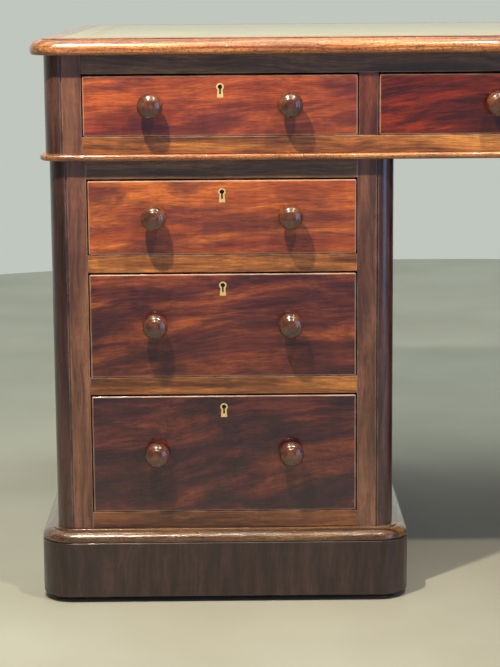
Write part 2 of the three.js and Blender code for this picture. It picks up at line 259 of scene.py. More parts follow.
@dataclass(frozen=True)
class PolishedMahogany(Finish):
    """Solid mahogany or thick veneer, French polished and waxed for 150 years.

    Shellac gives a deep clear gloss over red-brown wood with darker streaks and clouds, fine fibre and short
    dark pores. Each arris has a lighter line, where handling has thinned the polish and a highlight is
    painted;
    painted shade darkens the quirks.
    """

    name: str
    grain: Grain = Grain.ACROSS
    slot: Slot = Slot.MAHOGANY
    dark: str = "#3a1d12"
    ground: str = "#6d3a1f"
    light: str = "#8f5730"
    streak: str = "#2c1716"
    # The pale colour of the arris lines: polish rubbed thin, and a painted highlight.
    worn: str = "#c2a08a"
    figure_mm: Span = (300.0, 20.0)
    streaks: float = 0.5
    streak_mm: Span = (120.0, 5.0)
    clouds: float = 0.3
    cloud_mm: Span = (230.0, 60.0)
    fibre: float = 0.3
    ripple: float = 0.08
    slant: float = 0.0
    wave_mm: float = 7.0
    shift_mm: Triple = (0.0, 0.0, 0.0)
    squared: bool = True
    wear: Span = (0.15, 0.7)
    roughness: float = 0.3
    coat: float = 0.55
    pits: float = 0.12
    pitted: float = 0.59
    pit_mm: Span = (6.0, 2.6)

    def build(self, tree: NodeTree) -> None:
        """Builds the wood, the wear and painted highlight on its arrises, the painted shade in its corners,
        and its polish.
        """
        add = partial(add_node, tree)
        coords = waved(tree, self.wave_mm)
        along = partial(stretched, tree, coords, self.grain)
        vector = along(self.figure_mm, self.slant, self.shift_mm)
        inputs = {"Vector": vector, "Scale": 1.0, "Detail": 7.0, "Roughness": 0.66, "Distortion": 0.3}
        ramp = [(0.38, self.dark), (0.49, self.ground), (0.62, self.light)]
        wood = add("ValToRGB", {"Fac": add("TexNoise", inputs)}, stops=ramp)

        # Broad clouds of the figure, and then the dark streaks between the growth layers.
        vector = along(self.cloud_mm, self.slant * 1.4, self.shift_mm)
        settings = {"Detail": 4.0, "Roughness": 0.6, "Distortion": 0.8}
        wood = self.darkened(tree, wood, vector, settings, (0.47, 0.6), self.clouds)
        vector = along(self.streak_mm, self.slant, self.shift_mm)
        settings = {"Detail": 5.0, "Roughness": 0.65, "Distortion": 0.6}
        wood = self.darkened(tree, wood, vector, settings, (0.49, 0.61), self.streaks)

        # Fibres are near 0.3 mm wide; drawn at 1.3 mm, so that they show across a desk. The second pattern is
        # a ripple across the grain, where the fibres dip and rise under the polish.
        for size_mm, detail, low, high, amount in (
            ((38.0, 1.3), 3.0, 0.34, 0.66, self.fibre),
            ((9.0, 60.0), 2.0, 0.3, 0.7, self.ripple),
        ):
            noise = add("TexNoise", {"Vector": along(size_mm, self.slant), "Scale": 1.0, "Detail": detail})
            inputs = {"Value": noise, "From Min": low, "From Max": high}
            inputs |= {"To Min": 1 - amount, "To Max": 1 + amount}
            wood = add("VectorMath", {0: wood, 1: add("MapRange", inputs)}, operation="MULTIPLY")

        # Pores are 0.2 mm by 3 mm; drawn at 0.7 mm by 9 mm for the same reason.
        noise = add("TexNoise", {"Vector": along((9.0, 0.7), self.slant), "Scale": 1.0, "Detail": 1.0})
        pores = add("MapRange", {"Value": noise, "From Min": 0.58, "From Max": 0.72, "To Max": 0.6})

        # Dents and stains 1 to 4 mm across, longer along the grain.
        inputs = {"Vector": along(self.pit_mm), "Scale": 1.0, "Detail": 3.0, "Roughness": 0.65}
        noise = add("TexNoise", inputs)
        low, high = self.pitted, self.pitted + 0.08
        dents = add("MapRange", {"Value": noise, "From Min": low, "From Max": high, "To Max": self.pits})
        # The arrises are lightened for polish rubbed thin and with a painted highlight.
        worn = arris_wear_and_highlight(tree, self.squared, *self.wear)
        # 120c0b is painted shade in the corners and grooves.
        marks = ((pores, self.dark), (dents, "#22120d"), (worn, self.worn), (recess_shade_and_tarnish(tree), "#120c0b"))
        for mask, colour in marks:
            wood = add("Mix", {"Factor": mask, 6: wood, 7: colour}, out=2, data_type="RGBA")
        self.polish(tree, wood, pores, dents, along)

    def darkened(
        self,
        tree: NodeTree,
        wood: NodeSocket,
        vector: NodeSocket,
        settings: dict[str, float],
        span: Span,
        most: float,
    ) -> NodeSocket:
        """Darkens the wood in clouds or streaks of its figure.

        Args:
            tree: The tree to add to.
            wood: The wood's colour.
            vector: Coordinates in the marks' own size.
            settings: The noise's detail, roughness and distortion.
            span: The noise's values where the marks begin and where they are full.
            most: How much of the streak colour they then have.

        Returns:
            The darker colour.
        """
        marks = add_node(tree, "TexNoise", {"Vector": vector, "Scale": 1.0, **settings})
        inputs = {"Value": marks, "From Min": span[0], "From Max": span[1], "To Max": most}
        mask = add_node(tree, "MapRange", inputs)
        return add_node(tree, "Mix", {"Factor": mask, 6: wood, 7: self.streak}, out=2, data_type="RGBA")

    def polish(
        self,
        tree: NodeTree,
        wood: NodeSocket,
        pores: NodeSocket,
        dents: NodeSocket,
        along: partial,
    ) -> None:
        """Lays the shellac over the wood: it sinks into pores and dents, and rolls a little.

        Args:
            tree: The tree to add to.
            wood: The wood's colour.
            pores: The mask of pores.
            dents: The mask of dents.
            along: Gives coordinates along the grain.
        """
        add = partial(add_node, tree)
        high = add("Math", {0: 1.0, 1: pores}, operation="SUBTRACT")
        pored = add("Bump", {"Height": high, "Strength": 0.25, "Distance": 0.15 * MM})
        whole = add("Math", {0: 1.0, 1: dents}, operation="SUBTRACT")
        dented = add("Bump", {"Height": whole, "Strength": 0.3, "Distance": 0.4 * MM, "Normal": pored})
        roll = add("TexNoise", {"Vector": along((55.0, 16.0)), "Scale": 1.0, "Detail": 2.0})
        rolled = add("Bump", {"Height": roll, "Strength": 0.5, "Distance": 0.5 * MM, "Normal": dented})
        smears = add("TexNoise", {"Vector": along((60.0, 22.0)), "Scale": 1.0, "Detail": 4.0})
        low, high = self.roughness - 0.08, self.roughness + 0.1
        inputs = {"Value": smears, "From Min": 0.3, "From Max": 0.7, "To Min": low, "To Max": high}
        rough = add("MapRange", inputs)
        inputs = {"Base Color": wood, "Roughness": rough, "Normal": rolled}
        inputs |= {"Coat Weight": self.coat, "Coat Roughness": 0.12, "Coat Normal": rolled}
        add("OutputMaterial", {"Surface": add("BsdfPrincipled", inputs)})


@dataclass(frozen=True)
class WaxedOak(Finish):
    """Planed oak linings with a little wax, dulled and browned by age, matt and open grained."""

    name: str
    grain: Grain
    slot: Slot = Slot.OAK
    dark: str = "#6f5232"
    ground: str = "#94714a"
    light: str = "#ab8a60"

    def build(self, tree: NodeTree) -> None:
        """Builds the oak, its growth rings and its pores."""
        add = partial(add_node, tree)
        along = partial(stretched, tree, waved(tree, 5.0), self.grain)
        inputs = {"Vector": along((400.0, 12.0)), "Scale": 1.0, "Detail": 5.0, "Distortion": 0.4}
        rings = add("TexNoise", inputs)
        ramp = [(0.3, self.dark), (0.5, self.ground), (0.7, self.light)]
        wood = add("ValToRGB", {"Fac": rings}, stops=ramp)
        # Oak's pores are 0.3 mm wide; drawn at 1 mm.
        pore_noise = add("TexNoise", {"Vector": along((22.0, 1.0)), "Scale": 1.0, "Detail": 2.0})
        pores = add("MapRange", {"Value": pore_noise, "From Min": 0.52, "From Max": 0.7, "To Max": 0.6})
        stains = add("TexNoise", {"Vector": along((140.0, 60.0)), "Scale": 1.0, "Detail": 4.0})
        stained = add("MapRange", {"Value": stains, "From Min": 0.5, "From Max": 0.75, "To Max": 0.45})
        # The darkest colour, #241a12, is painted shade in the corners and grooves.
        for mask, colour in ((pores, "#3f2b18"), (stained, "#4a3826"), (recess_shade_and_tarnish(tree), "#241a12")):
            wood = add("Mix", {"Factor": mask, 6: wood, 7: colour}, out=2, data_type="RGBA")
        high = add("Math", {0: 1.0, 1: pores}, operation="SUBTRACT")
        bump = add("Bump", {"Height": high, "Strength": 0.5, "Distance": 0.2 * MM})
        rough = add("MapRange", {"Value": rings, "To Min": 0.5, "To Max": 0.72})
        shader = add("BsdfPrincipled", {"Base Color": wood, "Roughness": rough, "Normal": bump})
        add("OutputMaterial", {"Surface": shader})


@dataclass(frozen=True)
class TurnedKnobWood(Finish):
    """Mahogany turned on the lathe and polished: dark, very glossy, worn browner where fingers pull."""

    name: str = "turned_mahogany_knob"
    slot: Slot = Slot.KNOB

    def build(self, tree: NodeTree) -> None:
        """Builds the turned wood, whose grain runs through the knob from front to back."""
        add = partial(add_node, tree)
        along = partial(stretched, tree, add("TexCoord", out="Object"), Grain.FRONT_TO_BACK)
        inputs = {"Vector": along((70.0, 11.0)), "Scale": 1.0, "Detail": 3.0, "Distortion": 0.5}
        rings = add("TexNoise", inputs)
        wood = add("ValToRGB", {"Fac": rings}, stops=[(0.3, "#40221a"), (0.5, "#593224"), (0.7, "#74462f")])
        specks = add("TexNoise", {"Vector": along((5.0, 0.9)), "Scale": 1.0, "Detail": 2.0})
        pores = add("MapRange", {"Value": specks, "From Min": 0.58, "From Max": 0.74, "To Max": 0.4})
        # 150d0a is painted shade round the neck and in the knob's hollows.
        for mask, colour in ((pores, "#2a1811"), (recess_shade_and_tarnish(tree, 5.0), "#150d0a")):
            wood = add("Mix", {"Factor": mask, 6: wood, 7: colour}, out=2, data_type="RGBA")
        rough = add("MapRange", {"Value": rings, "To Min": 0.2, "To Max": 0.34})
        bump = add("Bump", {"Height": rings, "Strength": 0.15, "Distance": 0.2 * MM})
        inputs = {"Base Color": wood, "Roughness": rough, "Normal": bump}
        inputs |= {"Coat Weight": 1.0, "Coat Roughness": 0.14}
        add("OutputMaterial", {"Surface": add("BsdfPrincipled", inputs)})


@dataclass(frozen=True)
class SkiverLeather(Finish):
    """Thin sheepskin dyed olive, faded to straw and waxed: a fine pebble, crazed where arms rest."""

    name: str = "olive_skiver_leather"
    slot: Slot = Slot.LEATHER

    def build(self, tree: NodeTree) -> None:
        """Builds the leather's dye, pebble and wear."""
        add = partial(add_node, tree)
        coords = add("TexCoord", out="Object")
        patches = add("TexNoise", {"Vector": coords, "Scale": 9.0, "Detail": 7.0, "Roughness": 0.65})
        ramp = [(0.3, "#a1976a"), (0.52, "#afa574"), (0.72, "#bdb280")]
        dye = add("ValToRGB", {"Fac": patches}, stops=ramp)
        # Pebbles near 0.8 mm; drawn at 1.6 mm.
        pebble = add("TexVoronoi", {"Vector": coords, "Scale": 620.0}, feature="F1")
        creases = add("TexVoronoi", {"Vector": coords, "Scale": 45.0}, feature="DISTANCE_TO_EDGE")
        crazed = add("MapRange", {"Value": creases, "From Min": 0.03, "From Max": 0.0, "To Max": 0.35})
        dye = add("Mix", {"Factor": crazed, 6: dye, 7: "#4c4428"}, out=2, data_type="RGBA")
        pebbled = add("Bump", {"Height": pebble, "Strength": 0.35, "Distance": 0.15 * MM})
        inputs = {"Height": creases, "Strength": 0.15, "Distance": 0.2 * MM, "Normal": pebbled}
        bump = add("Bump", inputs)
        rough = add("MapRange", {"Value": patches, "To Min": 0.22, "To Max": 0.4})
        inputs = {"Base Color": dye, "Roughness": rough, "Normal": bump}
        inputs |= {"Coat Weight": 0.8, "Coat Roughness": 0.15}
        add("OutputMaterial", {"Surface": add("BsdfPrincipled", inputs)})


@dataclass(frozen=True)
class AgedMetal(Finish):
    """A worn metal: its bright skin shows through a darker tarnish in the scratches and hollows."""

    name: str
    bright: str
    tarnish: str
    slot: Slot = Slot.BRASS
    roughness: float = 0.3

    def build(self, tree: NodeTree) -> None:
        """Builds the metal with its tarnish and fine scratches."""
        add = partial(add_node, tree)
        coords = add("TexCoord", out="Object")
        patches = add("TexNoise", {"Vector": coords, "Scale": 260.0, "Detail": 4.0, "Roughness": 0.65})
        mask = add("MapRange", {"Value": patches, "From Min": 0.5, "From Max": 0.75, "To Max": 0.6})
        skin: NodeSocket | str = self.bright
        for dulled in (mask, recess_shade_and_tarnish(tree, 2.0)):
            skin = add("Mix", {"Factor": dulled, 6: skin, 7: self.tarnish}, out=2, data_type="RGBA")
        inputs = {"Value": patches, "To Min": self.roughness - 0.1, "To Max": self.roughness + 0.2}
        rough = add("MapRange", inputs)
        bump = add("Bump", {"Height": patches, "Strength": 0.15, "Distance": 0.1 * MM})
        inputs = {"Base Color": skin, "Metallic": 1.0, "Roughness": rough, "Normal": bump}
        add("OutputMaterial", {"Surface": add("BsdfPrincipled", inputs)})


@dataclass(frozen=True)
class StudioPaint(Finish):
    """Matt paint on the studio floor, with a faint mottle."""

    name: str
    colour: str
    shade: str

    def build(self, tree: NodeTree) -> None:
        """Builds the paint."""
        add = partial(add_node, tree)
        mottle = add("TexNoise", {"Vector": add("TexCoord", out="Object"), "Scale": 3.0, "Detail": 4.0})
        paint = add("ValToRGB", {"Fac": mottle}, stops=[(0.35, self.shade), (0.65, self.colour)])
        add("OutputMaterial", {"Surface": add("BsdfPrincipled", {"Base Color": paint, "Roughness": 0.6})})


# ---- bench work ----------------------------------------------------------------------------------


@dataclass(frozen=True)
class Box:
    """A box in the desk's frame."""

    x: Span
    y: Span
    z: Span

    @classmethod
    def of(cls, node: str) -> "Box":
        """The box of a CAD node."""
        low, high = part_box(node)
        return cls((low.x, high.x), (low.y, high.y), (low.z, high.z))

    def resized(self, x: Span | None = None, y: Span | None = None, z: Span | None = None) -> "Box":
        """The same box with some of its spans replaced."""
        return Box(x or self.x, y or self.y, z or self.z)


def block(bm: BMesh, box: Box) -> list[BMVert]:
    """Adds a block to a bmesh.

    Args:
        bm: The mesh to add to.
        box: Where it is.

    Returns:
        Its vertices.
    """
    spans = [tuple(sorted(span)) for span in (box.x, box.y, box.z)]
    size = [high - low for low, high in spans]
    middle = Vector([(low + high) / 2 for low, high in spans])
    matrix = Matrix.Translation(middle) @ Matrix.Diagonal((*size, 1.0))
    return bmesh.ops.create_cube(bm, size=1.0, matrix=matrix)["verts"]


def ease(
    bm: BMesh, geom: Iterable[BMEdge | BMVert], width: float, segments: int = 2, corners: bool = False
) -> None:
    """Rounds some edges over, or the corners of a flat section.

    Args:
        bm: The mesh.
        geom: The edges, or the corners' vertices.
        width: How far the rounding reaches.
        segments: Its facets.
        corners: Whether it is corners that are rounded.
    """
    bmesh.ops.bevel(
        bm,
        geom=list(geom),
        offset=width,
        segments=segments,
        profile=0.5,
        material=-1,
        affect="VERTICES" if corners else "EDGES",
        clamp_overlap=not corners,
    )


def eased_block(box: Box, width: float = 0.6 * MM) -> BMesh:
    """A planed board with its arrises taken off."""
    bm = bmesh.new()
    block(bm, box)
    ease(bm, bm.edges, width)
    return bm


def facing(bm: BMesh, direction: Vector) -> BMFace:
    """The largest face that looks in a direction."""
    return max((f for f in bm.faces if f.normal.dot(direction) > 0.99), key=lambda f: f.calc_area())


def edges_along(bm: BMesh, axis: int) -> list[BMEdge]:
    """The edges that run along an axis: 0 for X, 1 for Y, 2 for Z."""
    return [e for e in bm.edges if abs((e.verts[0].co - e.verts[1].co).normalized()[axis]) > 0.99]


def score(bm: BMesh, geom: list[BMVert | BMEdge | BMFace], axis: int, place: float) -> None:
    """Cuts a line through some faces, in the plane square to an axis: 0 for X, 1 for Y, 2 for Z."""
    normal = Vector([float(i == axis) for i in range(3)])
    bmesh.ops.bisect_plane(bm, geom=geom, plane_co=normal * place, plane_no=normal, dist=1e-7)


def quarter_round(width: float, height: float, steps: int) -> list[Span]:
    """A convex quarter round, as the cutter's steps.

    Args:
        width: How far it runs in from the edge.
        height: How far it rises.
        steps: Its facets.

    Returns:
        For each step, how far it goes in and how far it rises.
    """
    points = [
        (width * (1 - math.cos(math.pi / 2 * i / steps)), height * math.sin(math.pi / 2 * i / steps))
        for i in range(steps + 1)
    ]
    return [(b[0] - a[0], b[1] - a[1]) for a, b in zip(points, points[1:])]


def work_edge(bm: BMesh, face: BMFace, steps: Iterable[Span]) -> None:
    """Works a moulding round a face by insetting it a step at a time."""
    for inset, rise in steps:
        bmesh.ops.inset_region(
            bm, faces=[face], thickness=inset, depth=rise, use_even_offset=True, use_boundary=True
        )


def hollow(bm: BMesh, wall: float) -> None:
    """Cuts straight through a board from its top to its underside, leaving a wall all round."""
    for direction in (UP, -UP):
        work_edge(bm, facing(bm, direction), [(wall, 0.0)])
    inner = [facing(bm, direction) for direction in (UP, -UP)]
    loops = [edge for face in inner for edge in face.edges]
    bmesh.ops.delete(bm, geom=inner, context="FACES_ONLY")
    bmesh.ops.bridge_loops(bm, edges=loops)


def moulded_board(box: Box, corner: float, above: Sequence[Span], below: Sequence[Span]) -> BMesh:
    """A board with rounded corners and mouldings round its upper and lower edges.

    Args:
        box: The finished board.
        corner: The radius of its corners in plan.
        above: The upper moulding's steps.
        below: The lower moulding's steps.

    Returns:
        The board.
    """
    top = box.z[1] - sum(rise for _, rise in above)
    bottom = box.z[0] + sum(rise for _, rise in below)
    bm = bmesh.new()
    block(bm, box.resized(z=(bottom, top)))
    ease(bm, edges_along(bm, 2), corner, 12)
    work_edge(bm, facing(bm, UP), above)
    work_edge(bm, facing(bm, -UP), below)
    return bm


@dataclass
class Joiner:
    """Fixes finished pieces to one body of the desk."""

    body: str

    def fix(
        self, name: str, bm: BMesh, finish: Finish, replaces: Sequence[str] = (), smooth: bool = False
    ) -> Object:
        """Turns a bmesh into a piece of the desk.

        Args:
            name: The piece's name.
            bm: Its mesh, which this uses up.
            finish: Its finish.
            replaces: The CAD nodes that it stands for.
            smooth: Whether its curves are shaded smooth.

        Returns:
            The piece.
        """
        bmesh.ops.remove_doubles(bm, verts=bm.verts, dist=0.002 * MM)
        bmesh.ops.recalc_face_normals(bm, faces=bm.faces)
        mesh = bpy.data.meshes.new(name)
        bm.to_mesh(mesh)
        bm.free()
        mesh.materials.append(finish.material())
        piece = bpy.data.objects.new(name, mesh)
        bpy.context.scene.collection.objects.link(piece)
        if smooth:
            mesh.shade_smooth()
            mesh.set_sharp_from_angle(angle=SMOOTH_ANGLE)
            weighted = piece.modifiers.new("shading", "WEIGHTED_NORMAL")
            weighted.keep_sharp = True
        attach(piece, self.body)
        if replaces:
            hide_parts(*replaces)
        log.info("  %s, %s", name, finish.name)
        return piece


# ---- finishes of this desk -----------------------------------------------------------------------

RAIL_WOOD = PolishedMahogany(
    "rail_mahogany", ground="#a1612e", light="#cd8945", dark="#623921", streaks=0.35, clouds=0.2
)
BOTTOM_RAIL_WOOD = replace(
    RAIL_WOOD, name="bottom_rail_mahogany", dark="#3e2115", ground="#724126", light="#955b33"
)
PAINTED_SHADE_RAIL_WOOD = PolishedMahogany(  # painted shade: a darker copy of the rail wood for the shadow under the overhang
    "shaded_rail_mahogany", ground="#735338", light="#98764e", dark="#4c3a2a", streaks=0.4, roughness=0.36
)
POST_WOOD = PolishedMahogany(
    "post_mahogany",
    Grain.UPRIGHT,
    ground="#7c523f",
    light="#93664f",
    dark="#54372f",
    streaks=0.3,
    clouds=0.2,
    fibre=0.16,
    squared=False,
)
MUNTIN_WOOD = replace(POST_WOOD, name="muntin_mahogany", dark="#43221a", ground="#6a3526", light="#7b4230")
COLUMN_WOOD = replace(POST_WOOD, name="column_mahogany", dark="#2a1b1b", ground="#4c302d", light="#68433a")
SIDE_WOOD = PolishedMahogany(
    "side_mahogany",
    Grain.UPRIGHT,
    ground="#65352a",
    light="#844a35",
    dark="#43201a",
    figure_mm=(500.0, 45.0),
    streaks=0.32,
    streak_mm=(260.0, 12.0),
    clouds=0.22,
    cloud_mm=(400.0, 120.0),
)
END_WOOD = replace(POST_WOOD, name="frieze_end_mahogany", grain=Grain.FRONT_TO_BACK)
PLINTH_WOOD = PolishedMahogany(
    "plinth_mahogany",
    Grain.UPRIGHT,
    squared=False,
    ground="#332120",
    light="#432d2b",
    dark="#231616",
    figure_mm=(110.0, 14.0),
    streaks=0.3,
    streak_mm=(80.0, 4.0),
    clouds=0.25,
    cloud_mm=(160.0, 90.0),
    fibre=0.22,
    roughness=0.38,
    coat=0.4,
)
EDGE_WOOD = PolishedMahogany(
    "moulding_mahogany",
    squared=False,
    ground="#af6b3b",
    light="#d99959",
    dark="#814429",
    figure_mm=(240.0, 6.0),
    streaks=0.3,
    streak_mm=(70.0, 2.5),
    wave_mm=2.0,
    fibre=0.24,
    roughness=0.24,
    coat=0.85,
    pits=0.68,
    pitted=0.52,
    pit_mm=(3.2, 1.7),
)
BASE_EDGE_WOOD = replace(
    EDGE_WOOD, name="base_moulding_mahogany", dark="#422818", ground="#6e482a", light="#916c3f", roughness=0.2
)
OAK_ALONG = WaxedOak("oak_front_to_back", Grain.FRONT_TO_BACK)
OAK_ACROSS = WaxedOak("oak_across", Grain.ACROSS)
OAK_UPRIGHT = WaxedOak("oak_upright", Grain.UPRIGHT, dark="#4b3822", ground="#664d32", light="#7a6042")
KNOB_WOOD = TurnedKnobWood()
LEATHER = SkiverLeather()
BRASS = AgedMetal("aged_brass", "#ffe9aa", "#d3ab5e", roughness=0.55)
GILT = AgedMetal("gold_leaf_tooling", "#c9a24e", "#6d5a2c", roughness=0.4)
STEEL = AgedMetal("blackened_steel", "#6b6660", "#2e2a27", roughness=0.4)


# The fronts' arrises take the pale colour strongly: polish rubbed thin, and a painted highlight.
figured_front = partial(PolishedMahogany, slot=Slot.FIGURED, roughness=0.25, wear=(0.6, 1.0))


class Level(Enum):
    """Where a drawer is, with the finish of its front."""

    FRIEZE = figured_front(
        "frieze_drawer_mahogany",
        dark="#78311f",
        ground="#964628",
        light="#b95d2b",
        streak="#4a1e26",
        streaks=0.38,
        clouds=0.75,
        cloud_mm=(170.0, 44.0),
        slant=3.5,
        figure_mm=(200.0, 24.0),
    )
    CENTRE = figured_front(
        "centre_drawer_mahogany",
        dark="#3c1005",
        ground="#6b1f09",
        light="#92310d",
        streak="#301009",
        streaks=0.6,
        clouds=0.7,
        cloud_mm=(150.0, 30.0),
        slant=7.0,
        figure_mm=(190.0, 16.0),
    )
    UPPER = figured_front(
        "upper_drawer_mahogany",
        dark="#964321",
        ground="#a75328",
        light="#cf7331",
        streak="#4a2428",
        streaks=0.3,
        streak_mm=(80.0, 2.8),
        clouds=0.7,
        cloud_mm=(200.0, 44.0),
        slant=1.5,
        figure_mm=(230.0, 26.0),
    )
    MIDDLE = figured_front(
        "middle_drawer_mahogany",
        dark="#461d1f",
        ground="#6e3328",
        light="#9f522a",
        streak="#351a22",
        streaks=0.42,
        clouds=0.8,
        cloud_mm=(210.0, 60.0),
        slant=5.0,
        figure_mm=(230.0, 24.0),
        wave_mm=10.0,
    )
    LOWER = figured_front(
        "lower_drawer_mahogany",
        dark="#2e1422",
        ground="#502327",
        light="#7d3d29",
        streak="#281620",
        streaks=0.45,
        clouds=0.85,
        cloud_mm=(220.0, 70.0),
        slant=9.0,
        figure_mm=(220.0, 30.0),
        wave_mm=12.0,
        ripple=0.12,
        wear=(0.55, 1.0),
    )

    def board(self, drawer: str) -> PolishedMahogany:
        """The finish of one front.

        Args:
            drawer: The drawer's name.

        Returns:
            The finish; the right-hand fronts come from farther along the same boards.
        """
        if not drawer.startswith("right"):
            return self.value
        return replace(self.value, name="right_" + self.value.name, shift_mm=(310.0, 70.0, 55.0))


# ---- the drawers ---------------------------------------------------------------------------------


@dataclass(frozen=True)
class Clearance:
    """The room round a drawer front in its opening."""

    side: float = 1.5 * MM
    above: float = 2.5 * MM
    below: float = 0.5 * MM


CLEARANCE = Clearance()


@dataclass
class Keyhole:
    """A keyhole and the brass thread let in round it. Sizes are from the centre of its round head."""

    x: float
    z: float
    head: float = 5.1 * MM
    throat: float = 3.4 * MM
    foot: float = 4.3 * MM
    length: float = 14.2 * MM
    key_head: float = 3.1 * MM
    key_slot: float = 1.15 * MM
    key_length: float = 9.8 * MM
    depth: float = 17 * MM

    def outline(
        self, bm: BMesh, y: float, head: float, throat: float, foot: float, length: float
    ) -> list[BMEdge]:
        """Adds a keyhole's outline: an arc for the head, and a straight-sided stem under it.

        Args:
            bm: The mesh to add to.
            y: The plane that it lies in.
            head: The head's radius.
            throat: Half the stem's width where it meets the head.
            foot: Half the stem's width at the bottom.
            length: How far the stem reaches below the head's centre.

        Returns:
            Its edges.
        """
        centre = Vector((self.x, y, self.z))
        drop = math.asin(min(throat / head, 0.99))
        start = bm.verts.new(centre + Vector((throat, 0, -head * math.cos(drop))))
        arc = bmesh.ops.spin(
            bm,
            geom=[start],
            cent=centre,
            axis=(0, -1, 0),
            angle=2 * math.pi - 2 * drop,
            steps=18,
            use_duplicate=False,
        )
        end = next(v for v in arc["geom_last"] if isinstance(v, BMVert))
        edges = self.chain_from(start, end)
        left_foot = bm.verts.new(centre + Vector((-foot, 0, -length)))
        right_foot = bm.verts.new(centre + Vector((foot, 0, -length)))
        for a, b in ((end, left_foot), (left_foot, right_foot), (right_foot, start)):
            edges.append(bm.edges.new((a, b)))
        return edges

    @staticmethod
    def chain_from(start: BMVert, end: BMVert) -> list[BMEdge]:
        """The edges of the open chain between two vertices."""
        edges = []
        vert = start
        while vert != end:
            edge = next(e for e in vert.link_edges if e not in edges)
            edges.append(edge)
            vert = edge.other_vert(vert)
        return edges

    def thread_outline(self, bm: BMesh, y: float) -> list[BMEdge]:
        """The outer outline of the brass, which is also the mortise in the wood."""
        return self.outline(bm, y, self.head, self.throat, self.foot, self.length)

    def key_outline(self, bm: BMesh, y: float) -> list[BMEdge]:
        """The outline that the key passes through."""
        return self.outline(bm, y, self.key_head, self.key_slot, self.key_slot, self.key_length)

    def mortise(self, bm: BMesh, y: float) -> None:
        """Cuts the mortise for the brass into a front.

        Args:
            bm: The front.
            y: The plane of its face.
        """
        margin = 2 * MM
        reach = self.head + margin
        lowest = self.z - self.length - margin
        for axis, place in ((0, self.x - reach), (0, self.x + reach), (2, lowest), (2, self.z + reach)):
            score(bm, bm.verts[:] + bm.edges[:] + bm.faces[:], axis, place)
        middle = Vector((self.x, y, self.z - (self.length - self.head) / 2))
        patches = [f for f in bm.faces if f.normal.y < -0.99]
        patch = min(patches, key=lambda f: (f.calc_center_median() - middle).length)
        rim = list(patch.edges)
        bmesh.ops.delete(bm, geom=[patch], context="FACES_ONLY")
        hole = self.thread_outline(bm, y)
        bmesh.ops.triangle_fill(bm, edges=rim + hole, use_beauty=True, normal=(0, -1, 0))
        walls = bmesh.ops.extrude_edge_only(bm, edges=hole)["geom"]
        moved = [g for g in walls if isinstance(g, BMVert)]
        bmesh.ops.translate(bm, verts=moved, vec=(0, self.depth, 0))
        rim = [g for g in walls if isinstance(g, BMEdge) and g.is_boundary]
        bmesh.ops.contextual_create(bm, geom=rim)

    def brass_thread(self, y: float, depth: float) -> BMesh:
        """The brass thread: a keyhole-shaped ring.

        Args:
            y: The plane of its face.
            depth: How deep it goes.

        Returns:
            The ring.
        """
        bm = bmesh.new()
        edges = self.thread_outline(bm, y) + self.key_outline(bm, y)
        faces = bmesh.ops.triangle_fill(bm, edges=edges, use_beauty=True, normal=(0, -1, 0))["geom"]
        made = bmesh.ops.extrude_face_region(bm, geom=[f for f in faces if isinstance(f, BMFace)])["geom"]
        bmesh.ops.translate(bm, verts=[v for v in made if isinstance(v, BMVert)], vec=(0, depth, 0))
        return bm


